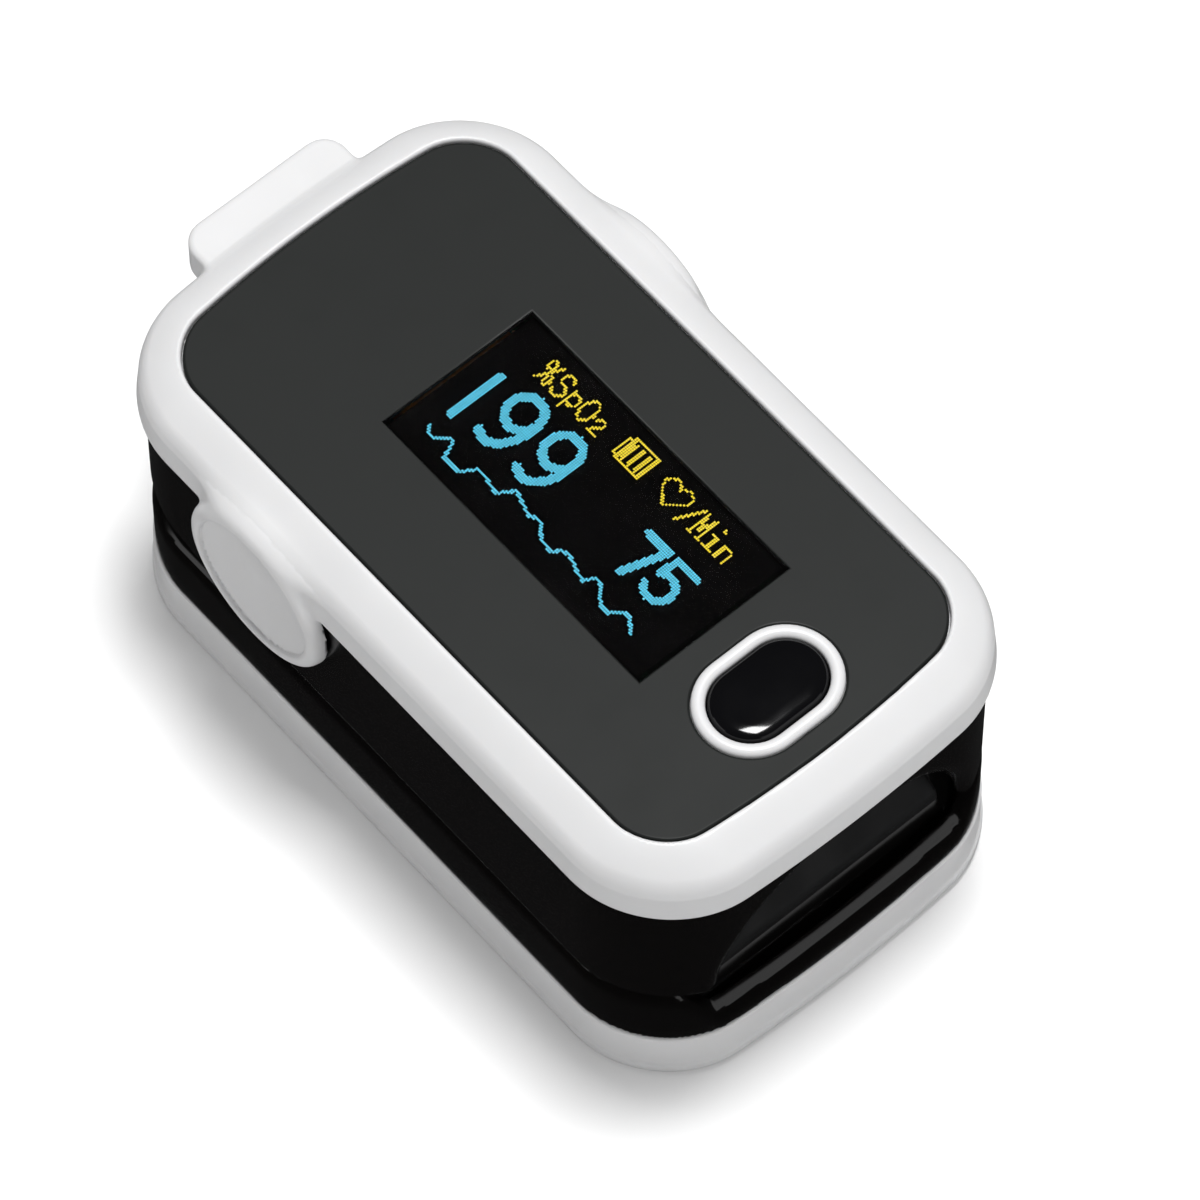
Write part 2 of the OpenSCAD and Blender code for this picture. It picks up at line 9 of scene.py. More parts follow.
import bmesh
import bpy
import numpy as np
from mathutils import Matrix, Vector


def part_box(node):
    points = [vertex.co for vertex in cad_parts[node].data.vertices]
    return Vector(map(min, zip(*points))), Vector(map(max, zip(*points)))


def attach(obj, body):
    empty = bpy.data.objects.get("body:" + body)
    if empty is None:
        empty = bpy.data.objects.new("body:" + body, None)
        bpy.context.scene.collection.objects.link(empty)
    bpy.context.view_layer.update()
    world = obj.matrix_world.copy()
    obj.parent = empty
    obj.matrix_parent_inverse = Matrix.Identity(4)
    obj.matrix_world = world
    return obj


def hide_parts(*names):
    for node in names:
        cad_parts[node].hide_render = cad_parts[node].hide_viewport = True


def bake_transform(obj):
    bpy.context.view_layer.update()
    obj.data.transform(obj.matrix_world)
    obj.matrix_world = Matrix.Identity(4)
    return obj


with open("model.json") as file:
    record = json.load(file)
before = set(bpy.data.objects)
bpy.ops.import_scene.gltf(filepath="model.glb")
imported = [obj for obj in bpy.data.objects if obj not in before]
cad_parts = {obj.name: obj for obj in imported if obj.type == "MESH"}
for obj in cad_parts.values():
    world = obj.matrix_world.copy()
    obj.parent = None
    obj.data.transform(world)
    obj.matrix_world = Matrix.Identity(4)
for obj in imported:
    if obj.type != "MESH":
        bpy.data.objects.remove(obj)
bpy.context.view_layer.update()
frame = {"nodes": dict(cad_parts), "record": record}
MM = 0.001


# ---------- sizes, from the frame ----------

def box_mm(node):
    """A node's lowest and highest corners in millimetres."""
    low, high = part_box(node)
    return np.array(low) / MM, np.array(high) / MM


PANEL_LOW, PANEL_HIGH = box_mm("display_panel")
WINDOW_LOW, WINDOW_HIGH = box_mm("screen_window")
BEZEL_HIGH = box_mm("top_bezel")[1]
BASE_HIGH = box_mm("base_cover")[1]
LOWER_HIGH = box_mm("lower_case")[1]
UPPER_LOW, UPPER_HIGH = box_mm("upper_case")
TRIM_LOW, TRIM_HIGH = box_mm("button_trim_ring")
BUTTON_LOW, BUTTON_HIGH = box_mm("power_button")
DOOR_LOW, DOOR_HIGH = box_mm("battery_door")
LOWER_PAD_LOW, LOWER_PAD_HIGH = box_mm("lower_finger_pad")
UPPER_PAD_LOW, UPPER_PAD_HIGH = box_mm("upper_finger_pad")
MODULE_HIGH = box_mm("display_module")[1]
JOINTS = {joint["name"]: joint for joint in frame["record"]["behaviour"]["joints"]}
PIVOT_Y, PIVOT_Z = (v / MM for v in JOINTS["jaw_hinge"]["pos_m"][1:])
OPEN_ANGLE = math.radians(JOINTS["jaw_hinge"]["range_deg"][1])
DOOR_TRAVEL = JOINTS["battery_door_slide"]["range_m"][1] / MM

END_BOW = 1.15                      # how far each short side bows outward at its middle
PANEL_HALF_W = PANEL_HIGH[0]
PANEL_HALF_L = PANEL_HIGH[1] - END_BOW
PANEL_CORNER_R = 4.1
PANEL_TOP_Z = PANEL_HIGH[2]
BEZEL_OUTSET = 3.73                 # bezel edge outside the panel
BEZEL_CORNER_R = 8.5
BEZEL_LOW_Z = 24.2
BEZEL_SHOULDER_Z = 27.75
BEZEL_TOP_Z = 29.9
BASE_OUTSET = BASE_HIGH[0] - PANEL_HALF_W
BASE_CORNER_R = 7.9
BASE_TOP_Z = BASE_HIGH[2]
LOWER_OUTSET = LOWER_HIGH[0] - PANEL_HALF_W
UPPER_OUTSET = UPPER_HIGH[0] - PANEL_HALF_W
UPPER_CORNER_R = BEZEL_CORNER_R - BEZEL_OUTSET + UPPER_OUTSET
PARTING_Z = 11.2
WALL = 1.4
LOWER_CORNER_R = 7.65
MOUTH_R = 10.7
FLOOR_THICK = 1.2
WEB_LOW_Z, WEB_HIGH_Z = 9.6, 10.6   # the shelf inside the lower jaw
BOX_HALF_W, BOX_WALL, DECK_TOP_Z = 12, 1, 13.4      # the battery box and its top
BOX_FRONT_Y, BOX_REAR_Y = -20.8, 29.2
LIP_HALF_W, LIP_START_Y = 14.2, -23.5               # the low front lip of the mouth
LIP_DROP, FLOOR_DROP = 3.1, 3.4
FINGER_R = 14.3                     # the pads' arched channels
EAR_R = 7.1
EAR_FACE_X = BEZEL_HIGH[0]
DISH_R = 5.75                       # the hollow in each ear
PIN_R, PIN_BORE_R, PIN_END_X = 1.2, 1.25, 18.0
LUG_IN_X, LUG_OUT_X, LUG_R, BOSS_R = 13.4, 15, 2.1, 2.6
TAB_HALF_W, TAB_END_Y = 7.0, BEZEL_HIGH[1]
TAB_LOW_Z, TAB_TOP_Z = 24.7, 28.1
CASE_SCREW_X, CASE_SCREW_Y = 14.6, 22
BASE_SCREW_X, BASE_SCREW_Y = 14.3, 24
BOARD_POST_X, BOARD_POST_Y = 11, 20
SENSOR_Y = -12
CABLE_Y, CABLE_HALF_W = 8.6, 2
DOOR_OPENING_HALF = 12.1
DOOR_HALF = 11.95
TONGUE_STARTS_Y, TONGUE_LENGTH = (-15, -3.5, 8), 5  # the door's tongues, along each side
BUTTON_Y = (BUTTON_LOW[1] + BUTTON_HIGH[1]) / 2
BUTTON_HALF = 1.64                  # half of the straight stretch of the button's outline
TRIM_OUTER_R, TRIM_HOLE_R = 4.14, 3.11


def place(name, data):
    """A new object in the scene."""
    obj = bpy.data.objects.new(name, data)
    bpy.context.collection.objects.link(obj)
    return obj


# ---------- camera and light ----------

CAMERA_AZIMUTH = math.radians(-40.81)
CAMERA_ELEVATION = math.radians(60.9)
CAMERA_DISTANCE = 0.651
CAMERA_TARGET = Vector((-0.0041, -0.0087, PANEL_TOP_Z * MM))
CAMERA_LENS = 281.6                 # on a 36 mm wide sensor


def make_camera():
    """The photograph's view: about 41 degrees to the left of the front and 61 degrees up."""
    level = math.cos(CAMERA_ELEVATION)
    back = Vector((math.sin(CAMERA_AZIMUTH) * level, -math.cos(CAMERA_AZIMUTH) * level,
                   math.sin(CAMERA_ELEVATION)))
    data = bpy.data.cameras.new("camera")
    data.sensor_width = 36.0
    data.lens = CAMERA_LENS
    data.clip_start = 0.01
    camera = place("camera", data)
    camera.location = CAMERA_TARGET + back * CAMERA_DISTANCE
    camera.rotation_euler = back.to_track_quat("Z", "Y").to_euler()
    bpy.context.scene.camera = camera


# name, place in metres, size in metres, power in watts
SOFTBOXES = [
    ("key_softbox", (0.11, 0.03, 0.90), (0.22, 0.22), 7.5),
    ("front_softbox", (0.16, -0.60, 0.30), (0.7, 0.4), 0.8),
    ("left_softbox", (-0.56, 0.24, 0.26), (0.4, 0.25), 0.38),
]
LIGHT_TARGET = Vector((0, 0, 0.015))
# the world's strength overhead, underneath, and as seen in reflections
AMBIENT_ABOVE, AMBIENT_BELOW, AMBIENT_IN_GLOSS = 0.36, 0.3, 0.02


def add_light(name, location, size, power):
    """A white softbox that faces the object."""
    data = bpy.data.lights.new(name, "AREA")
    data.shape = "RECTANGLE"
    data.size, data.size_y = size
    data.energy = power
    light = place(name, data)
    light.location = location
    direction = LIGHT_TARGET - Vector(location)
    light.rotation_euler = direction.to_track_quat("-Z", "Y").to_euler()


def make_studio():
    """White surroundings that are dim in reflections, so gloss shows only the softboxes."""
    scene = bpy.context.scene
    scene.view_settings.view_transform = "Standard"
    world = bpy.data.worlds.new("studio")
    scene.world = world
    world.use_nodes = True
    nodes, links = world.node_tree.nodes, world.node_tree.links
    split = nodes.new("ShaderNodeSeparateXYZ")
    links.new(nodes.new("ShaderNodeTexCoord").outputs["Generated"], split.inputs[0])
    height = nodes.new("ShaderNodeMapRange")
    height.interpolation_type = "SMOOTHSTEP"
    height.inputs["From Min"].default_value = -0.35
    height.inputs["From Max"].default_value = 0.75
    height.inputs["To Min"].default_value = AMBIENT_BELOW
    height.inputs["To Max"].default_value = AMBIENT_ABOVE
    links.new(split.outputs["Z"], height.inputs["Value"])
    level = nodes.new("ShaderNodeMix")
    links.new(nodes.new("ShaderNodeLightPath").outputs["Is Glossy Ray"], level.inputs["Factor"])
    links.new(height.outputs["Result"], level.inputs["A"])
    level.inputs["B"].default_value = AMBIENT_IN_GLOSS
    nodes["Background"].inputs["Color"].default_value = (1, 1, 1, 1)
    links.new(level.outputs["Result"], nodes["Background"].inputs["Strength"])
    for softbox in SOFTBOXES:
        add_light(*softbox)


# ---------- signed distance shapes ----------

def rounded_and(a, b, r):
    """Both shapes at once, with a rounded edge where their surfaces meet."""
    return np.minimum(-r, np.maximum(a, b)) + np.hypot(np.maximum(a + r, 0), np.maximum(b + r, 0))


def rising(t):
    """0 below 0 and 1 above 1, with a soft start and end."""
    t = np.clip(t, 0, 1)
    return t * t * (3 - 2 * t)


def blended_or(a, b, reach):
    """Union whose inner corner is filled softly over the given reach."""
    return np.minimum(a, b) - np.maximum(reach - np.abs(a - b), 0) ** 3 / (6 * reach ** 2)


def blended_and(a, b, reach):
    """Intersection whose edge is eased softly over the given reach."""
    return np.maximum(a, b) + np.maximum(reach - np.abs(a - b), 0) ** 3 / (6 * reach ** 2)


def rounded_or(a, b, r):
    """Either shape, with a fillet where their surfaces meet."""
    return np.maximum(r, np.minimum(a, b)) - np.hypot(np.maximum(r - a, 0), np.maximum(r - b, 0))


def cut(a, b, r):
    """The first shape without the second, with a rounded edge."""
    return rounded_and(a, -b, r)


def between(v, low, high):
    return np.abs(v - (low + high) / 2) - (high - low) / 2


def outline(x, y, outset, corner_r):
    """Distance to the body's outline: a round rectangle whose short sides bow outward."""
    w = PANEL_HALF_W + outset
    bow = END_BOW * (1 - np.minimum((x / w) ** 2, 1))
    qx = np.abs(x) - (w - corner_r)
    qy = np.abs(y) - bow - (PANEL_HALF_L + outset - corner_r)
    outside = np.hypot(np.maximum(qx, 0), np.maximum(qy, 0))
    return outside + np.minimum(np.maximum(qx, qy), 0) - corner_r


def block(x, y, z, low, high, r=0.0):
    """A box between two corners, with rounded edges."""
    qx = between(x, low[0], high[0]) + r
    qy = between(y, low[1], high[1]) + r
    qz = between(z, low[2], high[2]) + r
    outside = np.sqrt(np.maximum(qx, 0) ** 2 + np.maximum(qy, 0) ** 2 + np.maximum(qz, 0) ** 2)
    return outside + np.minimum(np.maximum(np.maximum(qx, qy), qz), 0) - r


def obround(x, y, r):
    """Distance to the button's outline: two half circles joined by a straight stretch."""
    return np.hypot(np.maximum(np.abs(x) - BUTTON_HALF, 0), y - BUTTON_Y) - r


CORNERS = np.array([[i, j, k] for i in (0, 1) for j in (0, 1) for k in (0, 1)])
EDGES = [(a, b) for a in range(8) for b in range(a + 1, 8)
         if np.abs(CORNERS[a] - CORNERS[b]).sum() == 1]


def slope_of(points, field, h=0.01):
    """The field's gradient at each point."""
    return np.stack([(field(*(points + h * axis).T) - field(*(points - h * axis).T)) / (2 * h)
                     for axis in np.eye(3)], axis=1)


def settle(points, field, rounds=3):
    """Moves points onto the field's zero surface and returns them with its normals."""
    for _ in range(rounds):
        slope = slope_of(points, field)
        steepness = np.maximum((slope ** 2).sum(axis=1), 0.2)
        move = (field(*points.T) / steepness)[:, None] * slope
        points = points - np.clip(move, -0.15, 0.15)
    slope = slope_of(points, field)
    return points, slope / np.linalg.norm(slope, axis=1)[:, None].clip(1e-6)


def surface_of(field, low, high, step):
    """Quads over the zero surface of a field, one vertex in each grid cell that it crosses."""
    axes = [np.arange(low[i] - 2.5 * step, high[i] + 2.5 * step, step) for i in range(3)]
    values = np.empty([len(a) for a in axes], dtype=np.float32)
    for i in range(0, len(axes[0]), 24):
        grid = np.meshgrid(axes[0][i:i + 24], axes[1], axes[2], indexing="ij")
        values[i:i + 24] = field(*grid)
    inside = values < 0
    n = [len(a) - 1 for a in axes]
    count = np.zeros(n, dtype=np.int8)
    for c in CORNERS:
        count += inside[c[0]:c[0] + n[0], c[1]:c[1] + n[1], c[2]:c[2] + n[2]]
    cells = np.argwhere((count > 0) & (count < 8))
    ids = -np.ones(n, dtype=np.int64)
    ids[tuple(cells.T)] = np.arange(len(cells))
    corner_values = np.stack([values[tuple((cells + c).T)] for c in CORNERS], axis=1)
    total = np.zeros((len(cells), 3))
    crossings = np.zeros(len(cells))
    for a, b in EDGES:
        va, vb = corner_values[:, a], corner_values[:, b]
        crossed = (va < 0) != (vb < 0)
        t = np.where(crossed, va / np.where(crossed, va - vb, 1), 0)[:, None]
        total += np.where(crossed[:, None], CORNERS[a] + t * (CORNERS[b] - CORNERS[a]), 0)
        crossings += crossed
    points = (cells + total / crossings[:, None]) * step + np.array([a[0] for a in axes])
    faces = []
    for axis in range(3):
        u, v = [(1, 2), (2, 0), (0, 1)][axis]
        start = [slice(1, n[0]), slice(1, n[1]), slice(1, n[2])]
        start[axis] = slice(0, n[axis])
        ahead = list(start)
        ahead[axis] = slice(1, n[axis] + 1)
        first, second = inside[tuple(start)], inside[tuple(ahead)]
        offset = np.array([s.start for s in start])
        for flip, mask in ((False, first & ~second), (True, ~first & second)):
            at = np.argwhere(mask) + offset
            back_u, back_v = np.eye(3, dtype=int)[u], np.eye(3, dtype=int)[v]
            quad = [ids[tuple((at - d).T)] for d in (back_u + back_v, back_v, 0 * back_u, back_u)]
            quad = np.stack(quad[::-1] if flip else quad, axis=1)
            faces.append(quad)
    return points, np.concatenate(faces)


def give_normals(obj, field, inward=0.12):
    """Sets the piece's vertices on the field, and its shading normals to the field's own.

    Each corner's normal is taken a little inside its face, so flat faces shade flat.
    """
    mesh = obj.data
    co = np.empty(len(mesh.vertices) * 3)
    mesh.vertices.foreach_get("co", co)
    points, _ = settle(co.reshape(-1, 3) / MM, field)
    mesh.vertices.foreach_set("co", (points * MM).ravel())
    mesh.update()
    corner_vertex = np.empty(len(mesh.loops), dtype=np.int64)
    mesh.loops.foreach_get("vertex_index", corner_vertex)
    centres = np.empty(len(mesh.polygons) * 3)
    mesh.polygons.foreach_get("center", centres)
    sides = np.empty(len(mesh.polygons), dtype=np.int64)
    mesh.polygons.foreach_get("loop_total", sides)
    centres = np.repeat(centres.reshape(-1, 3) / MM, sides, axis=0)
    corners = points[corner_vertex]
    _, normals = settle(corners + inward * (centres - corners), field, rounds=0)
    mesh.normals_split_custom_set(normals)


def solid_piece(name, field, low, high, step, keep):
    """A closed mesh of a field; keep is the share of faces left after thinning."""
    points, faces = surface_of(field, low, high, step)
    mesh = bpy.data.meshes.new(name)
    mesh.from_pydata((points * MM).tolist(), [], faces.tolist())
    mesh.validate()
    obj = place(name, mesh)
    thin = obj.modifiers.new("thin", "DECIMATE")
    thin.ratio = keep
    apply_modifiers(obj)
    obj.data.shade_smooth()
    give_normals(obj, field)
    return obj


def apply_modifiers(obj):
    depsgraph = bpy.context.evaluated_depsgraph_get()
    mesh = bpy.data.meshes.new_from_object(obj.evaluated_get(depsgraph))
    old = obj.data
    obj.modifiers.clear()
    obj.data = mesh
    mesh.name = obj.name
    bpy.data.meshes.remove(old)


# ---------- lofted shapes ----------

def new_mesh(name, vertices, faces, smooth=True):
    mesh = bpy.data.meshes.new(name)
    mesh.from_pydata([tuple(c * MM for c in v) for v in vertices], [], faces)
    mesh.validate()
    if smooth:
        mesh.shade_smooth()
    return place(name, mesh)


def panel_loop(arc_steps=16, end_steps=24):
    """Points around the display panel's outline."""
    w, l, corner_r = PANEL_HALF_W, PANEL_HALF_L, PANEL_CORNER_R
    quarter = []
    for i in range(arc_steps + 1):
        a = math.radians(90 * i / arc_steps)
        quarter.append((w - corner_r + corner_r * math.cos(a), l - corner_r + corner_r * math.sin(a)))
    for i in range(1, end_steps):
        quarter.append(((w - corner_r) * (1 - i / end_steps), l))
    half = quarter + [(-x, y) for x, y in reversed(quarter)]
    loop = half + [(-x, -y) for x, y in half]
    bowed = []
    for x, y in loop:
        bow = END_BOW * (1 - min((x / w) ** 2, 1)) * min(abs(y) / (l - corner_r), 1)
        bowed.append((x, y + math.copysign(bow, y)))
    return bowed


def obround_loop(r, steps=24):
    """Points around the button's outline at a radius."""
    points = []
    for side in (1, -1):
        for i in range(steps + 1):
            a = math.radians(-90 + 180 * i / steps)
            points.append((side * (BUTTON_HALF + r * math.cos(a)), BUTTON_Y + side * r * math.sin(a)))
    return points


def loft(name, rings, closed):
    """Quads between successive rings of points; an open loft gets a cap at both ends."""
    count = len(rings[0])
    vertices = [p for ring in rings for p in ring]
    faces = []
    spans = len(rings) if closed else len(rings) - 1
    for i in range(spans):
        j = (i + 1) % len(rings)
        for k in range(count):
            k2 = (k + 1) % count
            faces.append((i * count + k, i * count + k2, j * count + k2, j * count + k))
    if not closed:
        faces.append(tuple(reversed(range(count))))
        faces.append(tuple((len(rings) - 1) * count + k for k in range(count)))
    return new_mesh(name, vertices, faces)


def plate(name, loops, low_z, high_z, edge):
    """A flat plate from an outer loop and hole loops, with a small bevel on its edges."""
    data = bpy.data.curves.new(name, "CURVE")
    data.dimensions = "2D"
    data.fill_mode = "BOTH"
    data.extrude = ((high_z - low_z) / 2 - edge) * MM
    data.bevel_depth = edge * MM
    data.bevel_resolution = 2
    data.offset = -edge * MM
    for loop in loops:
        spline = data.splines.new("POLY")
        spline.points.add(len(loop) - 1)
        for point, (x, y) in zip(spline.points, loop):
            point.co = (x * MM, y * MM, 0, 1)
        spline.use_cyclic_u = True
    holder = place(name + "_curve", data)
    depsgraph = bpy.context.evaluated_depsgraph_get()
    mesh = bpy.data.meshes.new_from_object(holder.evaluated_get(depsgraph))
    bpy.data.objects.remove(holder)
    mesh.name = name
    work = bmesh.new()
    work.from_mesh(mesh)
    bmesh.ops.remove_doubles(work, verts=work.verts, dist=0.002 * MM)
    bmesh.ops.translate(work, verts=work.verts, vec=(0, 0, (low_z + high_z) / 2 * MM))
    bmesh.ops.recalc_face_normals(work, faces=work.faces)
    work.to_mesh(mesh)
    work.free()
    return place(name, mesh)


def rectangle(low, high):
    return [(low[0], low[1]), (high[0], low[1]), (high[0], high[1]), (low[0], high[1])]


# ---------- the moulded shells ----------

def bezel_field(x, y, z):
    """White top ring with its two ears and the squeeze tab."""
    width = np.abs(x)
    lean = 0.28 * np.clip((z - BEZEL_LOW_Z) / 3, 0, 1)
    side = outline(x, y, BEZEL_OUTSET - lean, BEZEL_CORNER_R - lean)
    inner = outline(x, y, 0.0, PANEL_CORNER_R)
    outer = -outline(x, y, BEZEL_OUTSET - 0.33, BEZEL_CORNER_R - 0.33)
    across = np.clip(inner / np.maximum(inner + outer, 0.5), 0, 1)
    crown_z = BEZEL_SHOULDER_Z + (BEZEL_TOP_Z - BEZEL_SHOULDER_Z) * (1 - across ** 1.5)
    ring = rounded_and(side, 0.8 * (z - crown_z), 0.85)
    ring = rounded_and(ring, BEZEL_LOW_Z - z, 0.55)

    from_pin = np.hypot(y - PIVOT_Y, z - PIVOT_Z)
    ear = rounded_and(from_pin - EAR_R, UPPER_HIGH[0] + 0.15 - width, 0.1)
    body = blended_or(ring, ear, 0.8 + 3.2 * rising((z - 24.6) / 3))
    body = blended_and(body, width - EAR_FACE_X, 1.9)
    dish_floor_x = EAR_FACE_X - 0.4 - 0.35 * (1 - (from_pin / DISH_R) ** 2)
    body = cut(body, np.maximum(from_pin - DISH_R, dish_floor_x - width), 0.4)

    tab_plan = block(x, y, 0 * z, (-TAB_HALF_W, 24, -9), (TAB_HALF_W, TAB_END_Y, 9), 2)
    tab = rounded_and(tab_plan, between(z, TAB_LOW_Z, TAB_TOP_Z), 0.45)
    body = rounded_or(body, tab, 0.5)

    pocket = np.maximum(outline(x, y, 0.12, PANEL_CORNER_R + 0.12), PANEL_LOW[2] - 0.05 - z)
    body = cut(body, pocket, 0.3)
    body = cut(body, outline(x, y, -1.6, 3.0), 0.2)
    body = np.maximum(body, -np.maximum(obround(x, y, TRIM_OUTER_R + 1), z - PANEL_LOW[2]))
    body = np.maximum(body, -np.maximum(from_pin - PIN_BORE_R, width - PIN_END_X))
    screw_hole = np.hypot(width - CASE_SCREW_X, np.abs(y) - CASE_SCREW_Y) - 0.62
    return np.maximum(body, -np.maximum(screw_hole, z - 27.6))


def sensor_well(x, y, z, half_w, half_l, low_z, r=0.0):
    """A tall box at the sensor's place, to be cut away above low_z."""
    return block(x, y, z, (-half_w, SENSOR_Y - half_l, low_z), (half_w, SENSOR_Y + half_l, 30), r)


def rear_gap(y, z, clear_z):
    """Distance above the sloping plane that lets the rear of the upper jaw swing down."""
    foot_z = PIVOT_Z + (clear_z - PIVOT_Z) / math.cos(OPEN_ANGLE)
    return (z - foot_z) * math.cos(OPEN_ANGLE) - (y - PIVOT_Y) * math.sin(OPEN_ANGLE)


def upper_shell_field(x, y, z):
    """Black skirt of the upper jaw, with its ceiling, pin bosses and the arched mouth."""
    width = np.abs(x)
    low_z, high_z = UPPER_LOW[2], BEZEL_LOW_Z
    body = rounded_and(outline(x, y, UPPER_OUTSET, UPPER_CORNER_R), low_z - z, 0.4)
    body = np.maximum(body, z - high_z)
    cavity = np.maximum(outline(x, y, UPPER_OUTSET - WALL, UPPER_CORNER_R - WALL), z - (high_z - 0.8))
    body = cut(body, cavity, 0.3)
    from_mouth = np.hypot(x, z - PARTING_Z - 0.2)
    from_pin = np.hypot(y - PIVOT_Y, z - PIVOT_Z)
    collar = np.maximum(np.abs(from_mouth - MOUTH_R - 0.9) - 0.9, np.maximum(y + 28.6, low_z - z))
    collar = np.maximum(collar, outline(x, y, UPPER_OUTSET - 0.5, UPPER_CORNER_R - 0.5))
    body = np.minimum(body, collar)
    boss = np.maximum(from_pin - BOSS_R, between(width, LUG_OUT_X + 0.12, UPPER_HIGH[0] - 0.7))
    body = rounded_or(body, boss, 0.3)
    from_post = np.hypot(width - BOARD_POST_X, np.abs(y) - BOARD_POST_Y)
    body = np.minimum(body, np.maximum(from_post - 1, between(z, high_z - 1, high_z + 0.4)))
    body = cut(body, np.maximum(from_mouth - MOUTH_R, y + 27), 2.0)
    body = cut(body, rear_gap(y, z, PARTING_Z + 0.45), 0.4)
    body = cut(body, np.maximum(width - BOX_HALF_W - 0.4, rear_gap(y, z, DECK_TOP_Z + 0.4)), 0.3)
    body = np.maximum(body, -(from_pin - PIN_R))
    body = np.maximum(body, -sensor_well(x, y, z, 2.6, 2.6, 20))
    body = np.maximum(body, -block(x, y, z, (-CABLE_HALF_W - 0.4, CABLE_Y - 0.6, 20),
                                   (CABLE_HALF_W + 0.4, CABLE_Y + 0.8, 30)))
    return np.maximum(body, -(np.hypot(width - CASE_SCREW_X, np.abs(y) - CASE_SCREW_Y) - 0.7))


def lower_shell_field(x, y, z):
    """Black frame of the lower jaw: outer wall and lip, web, battery box, lugs and posts."""
    width = np.abs(x)
    scoop = rising((LIP_HALF_W - width) / 3) * rising((LIP_START_Y - y) / 5)
    lip_z = PARTING_Z - LIP_DROP * scoop
    wall = outline(x, y, LOWER_OUTSET, LOWER_CORNER_R)
    wall = rounded_and(wall, 0.8 * (z - lip_z), 1.15 + 0.7 * scoop)
    wall = np.maximum(wall, BASE_TOP_Z - z)
    wall = cut(wall, outline(x, y, LOWER_OUTSET - WALL, LOWER_CORNER_R - WALL), 0.22)
    web = 0.8 * between(z + FLOOR_DROP * scoop, WEB_LOW_Z, WEB_HIGH_Z)
    web = np.maximum(outline(x, y, LOWER_OUTSET - 0.5, LOWER_CORNER_R - 0.5), web)
    body = rounded_or(wall, web, 0.25)
    box = block(x, y, z, (-BOX_HALF_W, BOX_FRONT_Y, 2.2), (BOX_HALF_W, BOX_REAR_Y, DECK_TOP_Z), 0.3)
    body = rounded_or(body, box, 0.2)
    from_pin = np.hypot(y - PIVOT_Y, z - PIVOT_Z)
    lug = np.minimum(from_pin - LUG_R, np.maximum(np.abs(y - PIVOT_Y) - LUG_R, z - PIVOT_Z))
    lug = rounded_and(np.maximum(lug, WEB_LOW_Z - z), between(width, LUG_IN_X, LUG_OUT_X), 0.2)
    body = rounded_or(body, lug, 0.2)
    from_screw = np.hypot(width - BASE_SCREW_X, np.abs(y) - BASE_SCREW_Y)
    post = np.maximum(from_screw - 2, between(z, FLOOR_THICK, WEB_LOW_Z + 0.5))
    body = np.minimum(body, post)
    room_w = BOX_HALF_W - BOX_WALL
    room = block(x, y, z, (-room_w, BOX_FRONT_Y + BOX_WALL, 0),
                 (room_w, BOX_REAR_Y - BOX_WALL, DECK_TOP_Z - BOX_WALL))
    body = cut(body, room, 0.15)
    body = cut(body, sensor_well(x, y, z, 3.2, 6.2, 11.4), 0.15)
    body = np.maximum(body, -np.maximum(from_pin - PIN_BORE_R, 12 - width))
    return np.maximum(body, -np.maximum(from_screw - 0.72, z - 6.5))


def base_body(x, y, z):
    """Outer form of the white base: its wall stands a little behind its foot rim."""
    rim = 0.2 / (1 + np.exp(np.clip((z - 1.45) / 0.06, -40, 40))) - 0.1
    side = outline(x, y, BASE_OUTSET + rim, BASE_CORNER_R + rim)
    return rounded_and(side, -z, 0.9)


def base_field(x, y, z):
    """White base tray: door opening, notches for the door's tongues and screw recesses."""
    width = np.abs(x)
    body = rounded_and(base_body(x, y, z), z - BASE_TOP_Z, 0.25)
    cavity = np.maximum(outline(x, y, BASE_OUTSET - WALL, BASE_CORNER_R - WALL), FLOOR_THICK - z)
    body = cut(body, cavity, 0.2)
    body = cut(body, np.maximum(width - DOOR_OPENING_HALF, -20.2 - y), 0.18)
    for tongue_y in TONGUE_STARTS_Y:
        front_y = tongue_y + DOOR_TRAVEL - 0.3
        notch = block(width, y, z, (11.9, front_y, -1), (13.15, front_y + TONGUE_LENGTH + 0.6, 1.5))
        body = np.maximum(body, -notch)
    from_screw = np.hypot(width - BASE_SCREW_X, np.abs(y) - BASE_SCREW_Y)
    body = np.maximum(body, -(from_screw - 0.85))
    return cut(body, np.maximum(from_screw - 1.6, z - 0.55), 0.12)


def door_field(x, y, z):
    """Sliding battery door: floor, rear wall, thumb grooves and the tongues under the base."""
    width = np.abs(x)
    body = rounded_and(base_body(x, y, z), z - (BASE_TOP_Z - 0.2), 0.2)
    body = rounded_and(body, width - DOOR_HALF, 0.18)
    body = rounded_and(body, DOOR_LOW[1] - y, 0.18)
    body = cut(body, np.maximum(FLOOR_THICK - z, y - 29.45), 0.2)
    for i in range(5):
        groove_y = 23.25 + 1.1 * i
        groove = np.hypot(np.maximum(width - 5, 0), np.hypot(y - groove_y, z)) - 0.38
        body = cut(body, groove, 0.1)
    for tongue_y in TONGUE_STARTS_Y:
        tongue = block(width, y, z, (11, tongue_y, 1.3),
                       (DOOR_HIGH[0], tongue_y + TONGUE_LENGTH, 1.9), 0.1)
        body = np.minimum(body, tongue)
    return body


